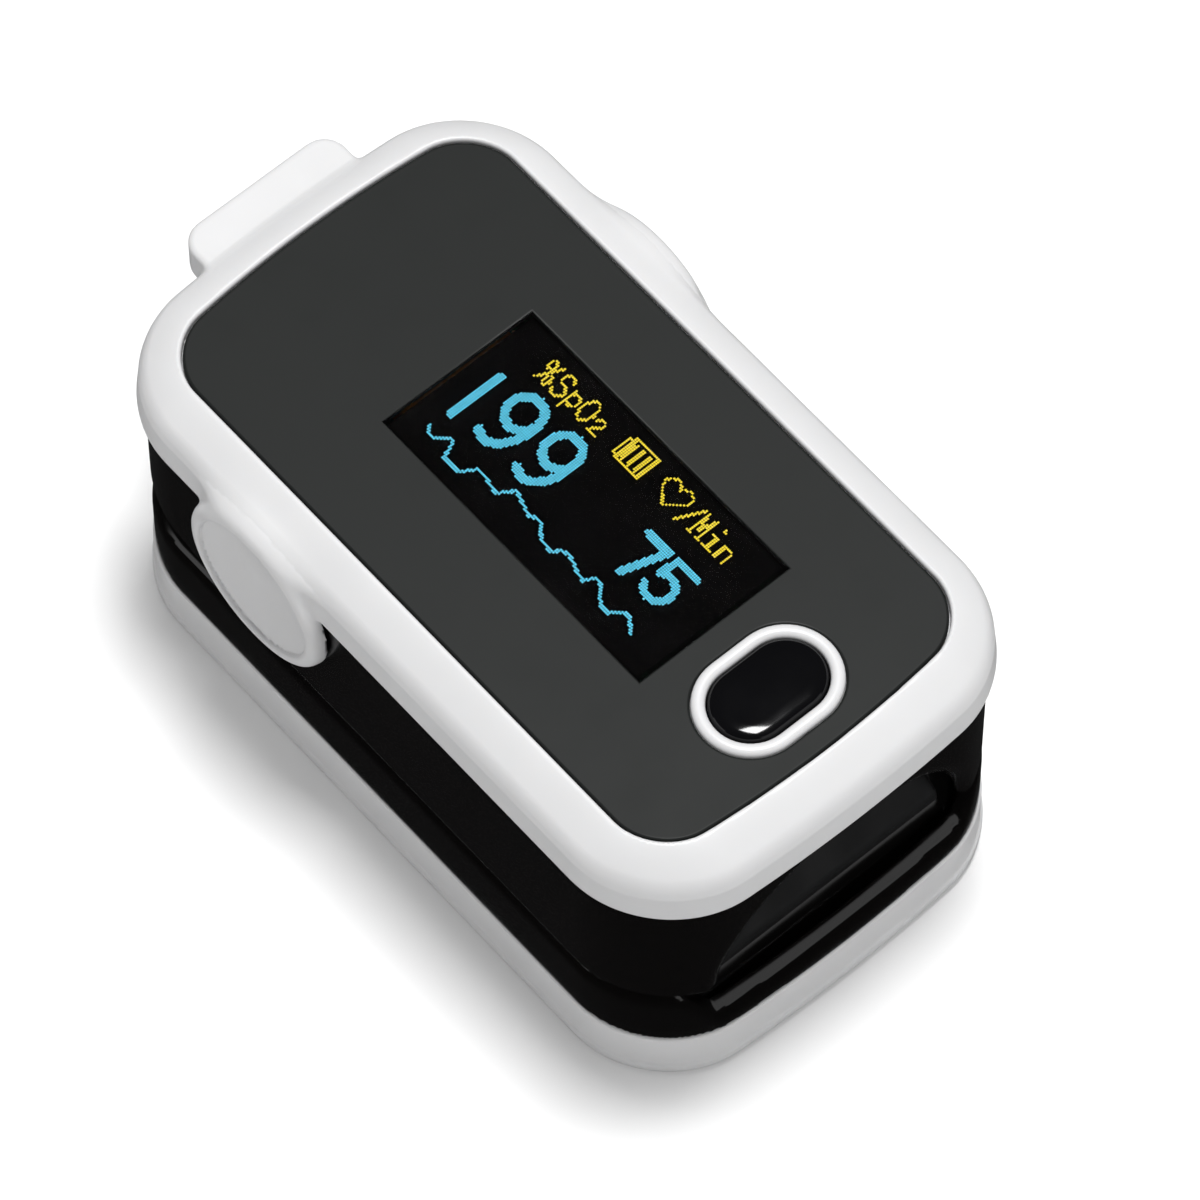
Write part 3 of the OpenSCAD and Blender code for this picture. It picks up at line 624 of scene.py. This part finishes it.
def lower_pad_field(x, y, z):
    """Lower silicone pad: a channel for the finger, a sloping nose and the sensor's well."""
    low, high = LOWER_PAD_LOW, LOWER_PAD_HIGH
    nose_z, nose_length = 11.8, 7.1
    slope = math.atan2(high[2] - nose_z, nose_length)
    nose = (z - nose_z) * math.cos(slope) - (y - low[1]) * math.sin(slope)
    body = rounded_and(np.abs(x) - high[0], z - high[2], 0.35)
    body = rounded_and(body, nose, 0.5)
    body = rounded_and(body, between(y, low[1], high[1]), 0.3)
    body = rounded_and(body, low[2] - z, 0.2)
    body = cut(body, np.maximum(z - DECK_TOP_Z - 0.2, BOX_FRONT_Y - 0.3 - y), 0.2)
    body = cut(body, np.maximum(np.hypot(x, z - 29.3) - FINGER_R, y - 5), 0.5)
    return cut(body, sensor_well(x, y, z, 3.5, 3.5, 10, 0.6), 0.25)


def upper_pad_field(x, y, z):
    """Upper silicone pad, the mirror of the lower one under the upper jaw's ceiling."""
    low, high = UPPER_PAD_LOW, UPPER_PAD_HIGH
    nose_z, nose_length = high[2] - 0.8, 5.9
    slope = math.atan2(nose_z - low[2], nose_length)
    nose = (nose_z - z) * math.cos(slope) - (y - low[1]) * math.sin(slope)
    body = rounded_and(np.abs(x) - high[0], low[2] - z, 0.35)
    body = rounded_and(body, nose, 0.5)
    body = rounded_and(body, between(y, low[1], high[1]), 0.3)
    body = rounded_and(body, z - high[2], 0.2)
    body = cut(body, np.maximum(np.hypot(x, z - 7.5) - FINGER_R, y - 5), 0.5)
    return cut(body, sensor_well(x, y, z, 3.5, 3.5, 10, 0.6), 0.25)


# ---------- panel, window, ring and button ----------

def obround_loft(name, profile, closed):
    """Sweeps (radius, height) points around the button's outline."""
    rings = [[(px, py, z) for px, py in obround_loop(r)] for r, z in profile]
    return loft(name, rings, closed)


def arc(cx, cz, rx, rz, start, end, steps):
    """(radius, height) points along part of an ellipse, angles in degrees."""
    angles = [math.radians(start + (end - start) * i / steps) for i in range(steps + 1)]
    return [(cx + rx * math.cos(a), cz + rz * math.sin(a)) for a in angles]


def make_trim_ring():
    """White ring around the button, with a round top and a flange under the panel."""
    outer_r, hole_r, flange_r = TRIM_OUTER_R, TRIM_HOLE_R, TRIM_HIGH[1] - BUTTON_Y
    flange_z = PANEL_LOW[2] - 0.05
    crown_z = TRIM_HIGH[2] - 0.45
    middle_r, half = (outer_r + hole_r) / 2, (outer_r - hole_r) / 2
    profile = [(hole_r, TRIM_LOW[2]), (flange_r, TRIM_LOW[2]), (flange_r, flange_z),
               (outer_r, flange_z)]
    profile += arc(middle_r, crown_z, half, 0.45, 0, 180, 14)
    return obround_loft("button_ring", profile, closed=True)


def make_button():
    """Button cap with a nearly flat top, and the flange that keeps it under the ring."""
    flange_r = BUTTON_HIGH[1] - BUTTON_Y
    r = flange_r - 0.82
    top_z, edge = BUTTON_HIGH[2], 0.5
    profile = [(flange_r, BUTTON_LOW[2]), (flange_r, BUTTON_LOW[2] + 0.4),
               (r, BUTTON_LOW[2] + 0.4), (r, top_z - edge - 0.35)]
    profile += arc(r - edge, top_z - edge - 0.12, edge, edge, 0, 75, 8)
    inside_r = r - 0.75
    profile += [(inside_r * (1 - t), top_z - 0.03 * (1 - t) ** 2) for t in (0, 0.25, 0.5, 0.75, 0.98)]
    return obround_loft("button_cap", profile, closed=False)


def make_panel():
    outer = panel_loop()
    window = rectangle(WINDOW_LOW - 0.03, WINDOW_HIGH + 0.03)
    hole = obround_loop(TRIM_OUTER_R + 0.05)
    return plate("display_face", [outer, window, hole], PANEL_LOW[2], PANEL_HIGH[2], edge=0.2)


def window_plate(name, node, edge, grow=0.0):
    """A window's plate; grow widens it past its CAD node on each side."""
    low, high = box_mm(node)
    return plate(name, [rectangle(low - grow, high + grow)], low[2], high[2], edge)


# ---------- the display's picture, as lit dots ----------

COLUMNS, ROWS = 128, 64
PITCH_COLUMN, PITCH_ROW = 0.1725, 0.18
PICTURE_Y = WINDOW_HIGH[1] - 1.94    # edge of the first column of dots
PICTURE_X = WINDOW_HIGH[0] - 0.77    # edge of the first row of dots


def ring_path(cx, cy, rx, ry, start=0, end=360, steps=28):
    angles = [math.radians(start + (end - start) * i / steps) for i in range(steps + 1)]
    return [(cx + rx * math.cos(a), cy + ry * math.sin(a)) for a in angles]


def shift(path, dx):
    return [(px + dx, py) for px, py in path]


NINE = ring_path(21.8, 26.6, 7.8, 8.1) + ring_path(17.6, 31, 12, 15.6, 0, 78, 20) + [(14.6, 44.4)]
BRIGHT_STROKES = [                                   # (path, width in dots)
    ([(2.2, 22.6), (2.2, 48)], 4.0),
    (NINE, 4.1),
    (shift(NINE, 23.7), 4.1),
    ([(97, 24.7), (109.2, 24.7), (108.4, 27.4), (102.6, 44.6)], 3.7),
    ([(126, 24.7), (114.6, 24.7), (113.8, 33)] + ring_path(118.6, 37.6, 6.4, 6.2, -120, 150, 20)
     + [(112.9, 40.4)], 3.5),
]
WAVE = [(0, 58), (3.5, 60.5), (6.5, 60.5), (10.5, 55.5), (12.5, 55.5), (16, 63), (24, 63),
        (26, 61.5), (29, 56.5), (34.5, 56.5), (37, 57.5), (42.5, 58), (47, 51.5), (52, 53),
        (59, 55), (62.5, 53.3), (65, 53.3), (68, 56.5), (72, 58.7), (77.5, 58.8), (80, 55.7),
        (83, 54.5), (88, 55.7), (92.5, 57.6), (96.5, 57.8), (98, 54.3), (100, 53.3),
        (102.5, 54.3), (105.5, 57), (109.5, 60), (114, 60), (118.5, 55), (121.5, 55),
        (127, 59.5)]
HEART = ([(90.3, 12.6), (83.2, 6.4)] + ring_path(86.6, 4.2, 3.7, 3.4, 160, 340, 12)
         + ring_path(94, 4.2, 3.7, 3.4, 200, 380, 12) + [(90.3, 12.6)])
YELLOW_STROKES = [
    ([(16.6, 1.4), (10.8, 12.4)], 1.3),
    (ring_path(11.9, 3.8, 1.5, 2.2), 1.2),
    (ring_path(15.6, 10, 1.5, 2.2), 1.2),
    (ring_path(22.2, 4.2, 2.8, 2.7, -20, -250, 14) + ring_path(22.2, 9.6, 3, 2.8, -70, 160, 14), 1.2),
    ([(27.6, 5), (27.6, 14.4)], 1.2),
    (ring_path(30, 8.2, 2.6, 2.9), 1.2),
    (ring_path(37.8, 6.9, 3.2, 5.3), 1.2),
    (ring_path(45.7, 7.3, 2, 1.8, -180, 30, 10) + [(43.7, 12.3), (48.3, 12.3)], 1.3),
    ([(60, 2.8), (58.6, 2.8), (58.6, 11.4), (60, 11.4)], 1.3),
    ([(61, 0.8), (74, 0.8), (74, 12.6), (61, 12.6), (61, 0.8)], 1.3),
    ([(63.4, 2.6), (63.4, 10.8)], 1.8),
    ([(67.3, 2.6), (67.3, 10.8)], 1.8),
    ([(71.3, 2.6), (71.3, 10.8)], 1.8),
    (HEART, 1.1),
    ([(98.4, 13.4), (104.6, 1.2)], 1.4),
    ([(106.2, 12.2), (106.2, 1.4), (108.9, 9.4), (111.6, 1.4), (111.6, 12.2)], 1.4),
    ([(105.2, 12.4), (107.4, 12.4)], 1.1),
    ([(110.4, 12.4), (112.6, 12.4)], 1.1),
    ([(116.6, 1.9), (116.8, 2.1)], 1.8),
    ([(114.6, 6.4), (116.9, 6.4), (116.9, 12.2)], 1.2),
    ([(114.4, 12.4), (119.2, 12.4)], 1.2),
    ([(122, 6.4), (122, 12.4)], 1.2),
    (ring_path(124.4, 8.6, 2.3, 2.4, 180, 360, 10) + [(126.7, 12.4)], 1.2),
]


def lit_dots(strokes):
    """The (column, row) of each dot whose centre lies on a stroke."""
    column, row = np.meshgrid(np.arange(COLUMNS) + 0.5, np.arange(ROWS) + 0.5, indexing="ij")
    lit = np.zeros(column.shape, dtype=bool)
    for path, width in strokes:
        for (x0, y0), (x1, y1) in zip(path, path[1:]):
            dx, dy = x1 - x0, y1 - y0
            t = ((column - x0) * dx + (row - y0) * dy) / max(dx * dx + dy * dy, 1e-9)
            t = np.clip(t, 0, 1)
            away = np.hypot(column - x0 - t * dx, row - y0 - t * dy)
            lit |= away < width / 2
    return np.argwhere(lit)


def make_dots(name, strokes, fill=0.8, height=0.02):
    """One small raised square for each lit dot, on the display's own glass."""
    vertices, faces = [], []
    low_z = MODULE_HIGH[2]
    half_x, half_y = PITCH_ROW * fill / 2, PITCH_COLUMN * fill / 2
    for column, row in lit_dots(strokes):
        cx = PICTURE_X - (row + 0.5) * PITCH_ROW
        cy = PICTURE_Y - (column + 0.5) * PITCH_COLUMN
        n = len(vertices)
        for z in (low_z, low_z + height):
            vertices += [(cx - half_x, cy - half_y, z), (cx + half_x, cy - half_y, z),
                         (cx + half_x, cy + half_y, z), (cx - half_x, cy + half_y, z)]
        faces += [(n, n + 3, n + 2, n + 1), (n + 4, n + 5, n + 6, n + 7)]
        faces += [(n + k, n + (k + 1) % 4, n + 4 + (k + 1) % 4, n + 4 + k) for k in range(4)]
    return new_mesh(name, vertices, faces, smooth=False)


# ---------- inner pieces that bend, and the cells ----------

def swept(name, path, half_w, thick):
    """A flat strip swept along points in the YZ plane."""
    rings = []
    for i, (y, z) in enumerate(path):
        y0, z0 = path[max(i - 1, 0)]
        y1, z1 = path[min(i + 1, len(path) - 1)]
        length = math.hypot(y1 - y0, z1 - z0)
        ny, nz = -(z1 - z0) / length * thick / 2, (y1 - y0) / length * thick / 2
        rings.append([(-half_w, y + ny, z + nz), (half_w, y + ny, z + nz),
                      (half_w, y - ny, z - nz), (-half_w, y - ny, z - nz)])
    return loft(name, rings, closed=False)


def wire_mesh(name, points, r):
    """A round wire along points, as a mesh."""
    data = bpy.data.curves.new(name, "CURVE")
    data.dimensions = "3D"
    data.bevel_depth = r * MM
    data.bevel_resolution = 4
    data.use_fill_caps = True
    spline = data.splines.new("POLY")
    spline.points.add(len(points) - 1)
    for point, p in zip(spline.points, points):
        point.co = (p[0] * MM, p[1] * MM, p[2] * MM, 1)
    holder = place(name + "_curve", data)
    mesh = bpy.data.meshes.new_from_object(holder.evaluated_get(
        bpy.context.evaluated_depsgraph_get()))
    bpy.data.objects.remove(holder)
    mesh.name = name
    mesh.shade_smooth()
    return place(name, mesh)


def make_torsion_spring(side, name):
    """Coil round the hinge pin; its first leg rests on the lower jaw, its last on the upper."""
    coil_r, wire_r, pitch = 1.7, 0.3, 0.72
    start, turn, steps = -123, 1587, 132
    lower_leg_y, upper_leg_y = 19.5, 21
    x0 = 9.6
    x1 = x0 + pitch * turn / 360
    path = [(side * x0, lower_leg_y, DECK_TOP_Z + wire_r + 0.06)]
    for i in range(steps + 1):
        a = math.radians(start - turn * i / steps)
        path.append((side * (x0 + (x1 - x0) * i / steps),
                     PIVOT_Y + coil_r * math.cos(a), PIVOT_Z + coil_r * math.sin(a)))
    path.append((side * x1, upper_leg_y, PIVOT_Z + coil_r))
    spring = wire_mesh(name, path, wire_r)
    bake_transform(spring)
    return spring


def make_sensor_ribbon():
    low, high = box_mm("sensor_cable")
    bend_r, thick = 1.0, 0.12
    flat_z, rise_y = low[2] + thick / 2, high[1] - thick / 2
    path = [(low[1] + (rise_y - bend_r - low[1]) * t / 6, flat_z) for t in range(7)]
    path += [(rise_y - bend_r + bend_r * math.sin(a), flat_z + bend_r * (1 - math.cos(a)))
             for a in (math.radians(15 * i) for i in range(1, 7))]
    path += [(rise_y, flat_z + bend_r + (high[2] - flat_z - bend_r) * t / 14)
             for t in range(1, 15)]
    ribbon = swept("sensor_ribbon", path, high[0], thick)
    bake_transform(ribbon)
    return ribbon


def make_cell(name, node, nub_dir):
    """An AAA cell turned about Y: sleeve with rolled edges, crimped rim, raised contact."""
    low, high = box_mm(node)
    x, z, r = (low[0] + high[0]) / 2, (low[2] + high[2]) / 2, (high[0] - low[0]) / 2
    length = high[1] - low[1] - 0.8
    profile = [(0.02, 0), (r - 1.2, 0), (r - 0.9, 0.12), (r - 0.6, 0), (r - 0.25, 0.06), (r, 0.35),
               (r, length - 0.4), (r - 0.2, length - 0.08), (r - 0.7, length),
               (r - 1.1, length - 0.35), (2.3, length - 0.35), (2.1, length),
               (1.9, length + 0.2), (1.9, length + 0.62), (1.7, length + 0.8), (0.02, length + 0.8)]
    rings = []
    for pr, along in profile:
        y = high[1] - (length + 0.8) + along if nub_dir > 0 else low[1] + (length + 0.8) - along
        rings.append([(x + pr * math.cos(a), y, z + nub_dir * pr * math.sin(a))
                      for a in (math.radians(-7.5 * k) for k in range(48))])
    cell = loft(name, rings, closed=False)
    cell.data.set_sharp_from_angle(angle=math.radians(40))
    return cell


# ---------- materials ----------

def noise(nodes, links, coords, scale, detail=3.0, stretch=(1, 1, 1)):
    """A noise texture on object coordinates; scale is features per metre."""
    mapping = nodes.new("ShaderNodeMapping")
    mapping.inputs["Scale"].default_value = [scale * s for s in stretch]
    texture = nodes.new("ShaderNodeTexNoise")
    texture.inputs["Scale"].default_value = 1.0
    texture.inputs["Detail"].default_value = detail
    links.new(coords, mapping.inputs["Vector"])
    links.new(mapping.outputs["Vector"], texture.inputs["Vector"])
    return texture.outputs["Fac"]


def ramp(nodes, links, factor, stops, constant=False):
    """A colour ramp; stops are (place, colour)."""
    node = nodes.new("ShaderNodeValToRGB")
    if constant:
        node.color_ramp.interpolation = "CONSTANT"
    elements = node.color_ramp.elements
    while len(elements) < len(stops):
        elements.new(0.5)
    for element, (place, colour) in zip(elements, stops):
        element.position = place
        element.color = (*colour, 1)
    links.new(factor, node.inputs["Fac"])
    return node.outputs["Color"]


def spread(nodes, links, factor, low, high):
    """Maps the middle of a 0 to 1 texture onto low to high."""
    node = nodes.new("ShaderNodeMapRange")
    node.inputs["From Min"].default_value = 0.3
    node.inputs["From Max"].default_value = 0.7
    node.inputs["To Min"].default_value = low
    node.inputs["To Max"].default_value = high
    links.new(factor, node.inputs["Value"])
    return node.outputs["Result"]


def shader_of(material):
    """The material's nodes, its links and its Principled node."""
    material.use_nodes = True
    nodes = material.node_tree.nodes
    return nodes, material.node_tree.links, nodes["Principled BSDF"]


def finish(name, colour, roughness, variation=0.04, blotch=60, grain=3000, depth=0.003,
           stretch=(1, 1, 1), **shader):
    """A Principled material: mottled colour, uneven roughness, and a fine bump of a given depth.

    roughness is (smoothest, roughest); depth is in millimetres; shader sets constant sockets.
    """
    material = bpy.data.materials.new(name)
    nodes, links, bsdf = shader_of(material)
    coords = nodes.new("ShaderNodeTexCoord").outputs["Object"]
    dark = [c * (1 - variation) for c in colour]
    light = [min(c * (1 + variation), 1) for c in colour]
    mottle = noise(nodes, links, coords, blotch)
    links.new(ramp(nodes, links, mottle, [(0.35, dark), (0.65, light)]), bsdf.inputs["Base Color"])
    fine = noise(nodes, links, coords, grain, stretch=stretch)
    rough_mix = noise(nodes, links, coords, blotch * 4)
    links.new(spread(nodes, links, rough_mix, *roughness), bsdf.inputs["Roughness"])
    bump = nodes.new("ShaderNodeBump")
    bump.inputs["Strength"].default_value = 1.0
    bump.inputs["Distance"].default_value = depth * MM
    links.new(fine, bump.inputs["Height"])
    links.new(bump.outputs["Normal"], bsdf.inputs["Normal"])
    for socket, value in shader.items():
        bsdf.inputs[socket.replace("_", " ")].default_value = value
    return material


def glowing(name, colour, strength):
    """Lit dots: a steady colour that varies a little from dot to dot."""
    material = bpy.data.materials.new(name)
    nodes, links, bsdf = shader_of(material)
    coords = nodes.new("ShaderNodeTexCoord").outputs["Object"]
    uneven = noise(nodes, links, coords, 2500, 1.0)
    tone = ramp(nodes, links, uneven, [(0.35, [c * 0.86 for c in colour]), (0.65, colour)])
    links.new(tone, bsdf.inputs["Emission Color"])
    bsdf.inputs["Emission Strength"].default_value = strength
    links.new(ramp(nodes, links, uneven, [(0.3, (0.01, 0.01, 0.01)), (0.7, (0.02, 0.02, 0.02))]),
              bsdf.inputs["Base Color"])
    bsdf.inputs["Roughness"].default_value = 0.4
    return material


def banded_sleeve(name):
    """Printed cell sleeve: a dark body with a copper band at one end and a fine rule."""
    material = finish(name, (0.05, 0.05, 0.06), (0.22, 0.34), depth=0.002, Coat_Weight=0.5)
    nodes, links, bsdf = shader_of(material)
    coords = nodes.new("ShaderNodeTexCoord").outputs["Generated"]
    split = nodes.new("ShaderNodeSeparateXYZ")
    links.new(coords, split.inputs[0])
    copper, ink, silver = (0.62, 0.27, 0.10), (0.03, 0.035, 0.045), (0.6, 0.6, 0.62)
    bands = [(0.0, silver), (0.012, ink), (0.62, silver), (0.625, copper), (0.975, silver)]
    tone = ramp(nodes, links, split.outputs["Y"], bands, constant=True)
    links.new(tone, bsdf.inputs["Base Color"])
    bands = [(0.0, (1, 1, 1)), (0.012, (0, 0, 0)), (0.62, (0.8, 0.8, 0.8)), (0.975, (1, 1, 1))]
    bare = ramp(nodes, links, split.outputs["Y"], bands, constant=True)
    links.new(bare, bsdf.inputs["Metallic"])
    return material


def circuit_board(name):
    """Green solder mask over copper traces and pads."""
    material = finish(name, (0.02, 0.12, 0.05), (0.25, 0.4), grain=1500, depth=0.004,
                      Coat_Weight=0.4)
    nodes, links, bsdf = shader_of(material)
    coords = nodes.new("ShaderNodeTexCoord").outputs["Object"]
    cells = nodes.new("ShaderNodeTexVoronoi")
    cells.distance = "MANHATTAN"
    cells.feature = "F1"
    cells.inputs["Scale"].default_value = 420
    links.new(coords, cells.inputs["Vector"])
    green, trace, pad = (0.012, 0.10, 0.04), (0.03, 0.2, 0.08), (0.72, 0.55, 0.25)
    tone = ramp(nodes, links, cells.outputs["Distance"],
                [(0.0, pad), (0.12, trace), (0.3, green), (0.6, trace), (0.68, green)], constant=True)
    links.new(tone, bsdf.inputs["Base Color"])
    return material


def make_materials():
    metal = dict(Metallic=1.0)
    return {
        "white_shell": finish("white_abs", (0.66, 0.66, 0.665), (0.30, 0.42), variation=0.012,
                              grain=2600, depth=0.0012, Subsurface_Weight=0.08,
                              Subsurface_Radius=(0.0012, 0.001, 0.0008)),
        "black_shell": finish("black_abs", (0.0020, 0.0015, 0.0014), (0.14, 0.22), variation=0.15,
                              grain=2200, depth=0.0008, Specular_IOR_Level=0.5),
        "silicone": finish("black_silicone", (0.010, 0.010, 0.011), (0.5, 0.66), variation=0.1,
                           grain=5200, depth=0.006, Specular_IOR_Level=0.3),
        "panel_film": finish("panel_film", (0.0112, 0.0126, 0.0119), (0.42, 0.50), variation=0.03,
                             grain=6500, depth=0.0012, Specular_IOR_Level=0.18),
        "screen_glass": finish("window_acrylic", (0.86, 0.85, 0.86), (0.015, 0.04),
                               variation=0.02, grain=900, depth=0.0002,
                               Transmission_Weight=1.0, IOR=1.49, Specular_IOR_Level=0.3),
        "clear_window": finish("sensor_window_resin", (0.8, 0.72, 0.72), (0.06, 0.14),
                               variation=0.03, grain=900, depth=0.0005,
                               Transmission_Weight=0.85, IOR=1.49),
        "red_filter": finish("red_filter_resin", (0.35, 0.015, 0.02), (0.06, 0.14),
                             variation=0.05, grain=900, depth=0.0005,
                             Transmission_Weight=0.7, IOR=1.49),
        "button_resin": finish("button_gloss", (0.003, 0.003, 0.0035), (0.07, 0.12),
                               variation=0.1, grain=1800, depth=0.0006, Specular_IOR_Level=0.28),
        "display_glass": finish("display_glass", (0.0015, 0.0008, 0.0008), (0.12, 0.2),
                                variation=0.1, grain=1500, depth=0.0004, Specular_IOR_Level=0.2),
        "plated_steel": finish("nickel_plate", (0.62, 0.61, 0.58), (0.22, 0.34), variation=0.05,
                               grain=1800, depth=0.002, stretch=(1, 1, 9), **metal),
        "spring_steel": finish("spring_wire", (0.5, 0.5, 0.5), (0.25, 0.38), variation=0.08,
                               grain=4000, depth=0.003, stretch=(0.2, 1, 1), **metal),
        "pin_steel": finish("ground_pin", (0.56, 0.56, 0.57), (0.16, 0.26), variation=0.05,
                            grain=6000, depth=0.0015, stretch=(4, 1, 1), **metal),
        "screw_steel": finish("screw_steel", (0.36, 0.36, 0.37), (0.28, 0.42), variation=0.1,
                              grain=5000, depth=0.002, **metal),
        "switch_metal": finish("switch_can", (0.6, 0.6, 0.6), (0.3, 0.42), variation=0.06,
                               grain=3500, depth=0.002, stretch=(1, 6, 1), **metal),
        "chip_resin": finish("chip_epoxy", (0.012, 0.012, 0.013), (0.5, 0.65), variation=0.15,
                             grain=9000, depth=0.004),
        "capacitor_ceramic": finish("capacitor_ceramic", (0.42, 0.3, 0.19), (0.4, 0.55),
                                    variation=0.1, grain=6000, depth=0.003),
        "led_ceramic": finish("led_ceramic", (0.72, 0.62, 0.32), (0.3, 0.45), variation=0.08,
                              grain=5000, depth=0.002),
        "flex_film": finish("flex_film", (0.48, 0.2, 0.035), (0.24, 0.36), variation=0.1,
                            grain=3500, depth=0.002, stretch=(9, 0.4, 0.4), Coat_Weight=0.4),
        "foam_tape": finish("foam_tape", (0.36, 0.36, 0.37), (0.8, 0.95), variation=0.15,
                            grain=4500, depth=0.05),
        "cell_sleeve": banded_sleeve("cell_sleeve"),
        "circuit_board": circuit_board("solder_mask"),
        "cyan_dots": glowing("cyan_dots", (0.10, 0.60, 0.82), 1.5),
        "yellow_dots": glowing("yellow_dots", (0.86, 0.68, 0.03), 1.5),
    }


def make_floor():
    """Pale paper that glows slightly, so that only the contact shadow stays grey."""
    reach = 3.0
    vertices = [(-reach, -reach, 0), (reach, -reach, 0), (reach, reach, 0), (-reach, reach, 0)]
    mesh = bpy.data.meshes.new("floor")
    mesh.from_pydata(vertices, [], [(0, 1, 2, 3)])
    floor = place("floor", mesh)
    paper = finish("floor_paper", (0.88, 0.88, 0.88), (0.7, 0.85), variation=0.01,
                   grain=600, depth=0.004, Specular_IOR_Level=0.1)
    _, _, bsdf = shader_of(paper)
    bsdf.inputs["Emission Color"].default_value = (1, 1, 1, 1)
    bsdf.inputs["Emission Strength"].default_value = 0.05
    floor.data.materials.append(paper)
    floor.visible_glossy = False


# ---------- the object ----------

NODE_SLOT = {part["node"]: part["material_slot"] for part in frame["record"]["subparts"]}
NODE_BODY = {n: body for body, ns in frame["record"]["behaviour"]["bodies"].items() for n in ns}


def add_piece(piece, node, materials, blended=False):
    """Puts a finished piece in a CAD node's place, on its body and in its material slot."""
    slot = NODE_SLOT[node]
    piece.data.materials.clear()
    piece.data.materials.append(materials[slot])
    if not blended:
        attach(piece, NODE_BODY[node])
    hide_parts(node)


def build_shells(materials):
    shells = [
        ("top_bezel_shell", "top_bezel", bezel_field, 0.25, 0.45),
        ("upper_case_shell", "upper_case", upper_shell_field, 0.25, 0.3),
        ("lower_case_shell", "lower_case", lower_shell_field, 0.25, 0.3),
        ("base_cover_shell", "base_cover", base_field, 0.25, 0.35),
        ("battery_door_shell", "battery_door", door_field, 0.25, 0.35),
        ("lower_pad_skin", "lower_finger_pad", lower_pad_field, 0.3, 0.4),
        ("upper_pad_skin", "upper_finger_pad", upper_pad_field, 0.3, 0.4),
    ]
    for name, node, field, step, keep in shells:
        low, high = box_mm(node)
        piece = solid_piece(name, field, low, high, step, keep)
        add_piece(piece, node, materials)


def build_top(materials):
    add_piece(make_panel(), "display_panel", materials)
    add_piece(window_plate("window_pane", "screen_window", 0.02, 0.2), "screen_window", materials)
    add_piece(make_trim_ring(), "button_trim_ring", materials)
    add_piece(make_button(), "power_button", materials)
    add_piece(window_plate("emitter_pane", "emitter_window", 0.15), "emitter_window", materials)
    add_piece(window_plate("detector_pane", "detector_window", 0.12), "detector_window", materials)
    pictures = [("display_dots_cyan", BRIGHT_STROKES + [(WAVE, 1.5)], "cyan_dots"),
                ("display_dots_yellow", YELLOW_STROKES, "yellow_dots")]
    for name, strokes, look in pictures:
        dots = make_dots(name, strokes)
        dots.data.materials.append(materials[look])
        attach(dots, NODE_BODY["display_module"])


def build_inside(materials):
    add_piece(make_cell("cell_left", "battery_left", -1), "battery_left", materials)
    add_piece(make_cell("cell_right", "battery_right", 1), "battery_right", materials)
    for side, label in ((-1, "left"), (1, "right")):
        spring = make_torsion_spring(side, "torsion_coil_" + label)
        add_piece(spring, "torsion_spring_" + label, materials, blended=True)
    add_piece(make_sensor_ribbon(), "sensor_cable", materials, blended=True)
    for node, obj in frame["nodes"].items():
        if not obj.hide_render:
            obj.data.materials.clear()
            obj.data.materials.append(materials[NODE_SLOT[node]])


make_camera()
make_studio()
make_floor()
MATERIALS = make_materials()
build_shells(MATERIALS)
build_top(MATERIALS)
build_inside(MATERIALS)
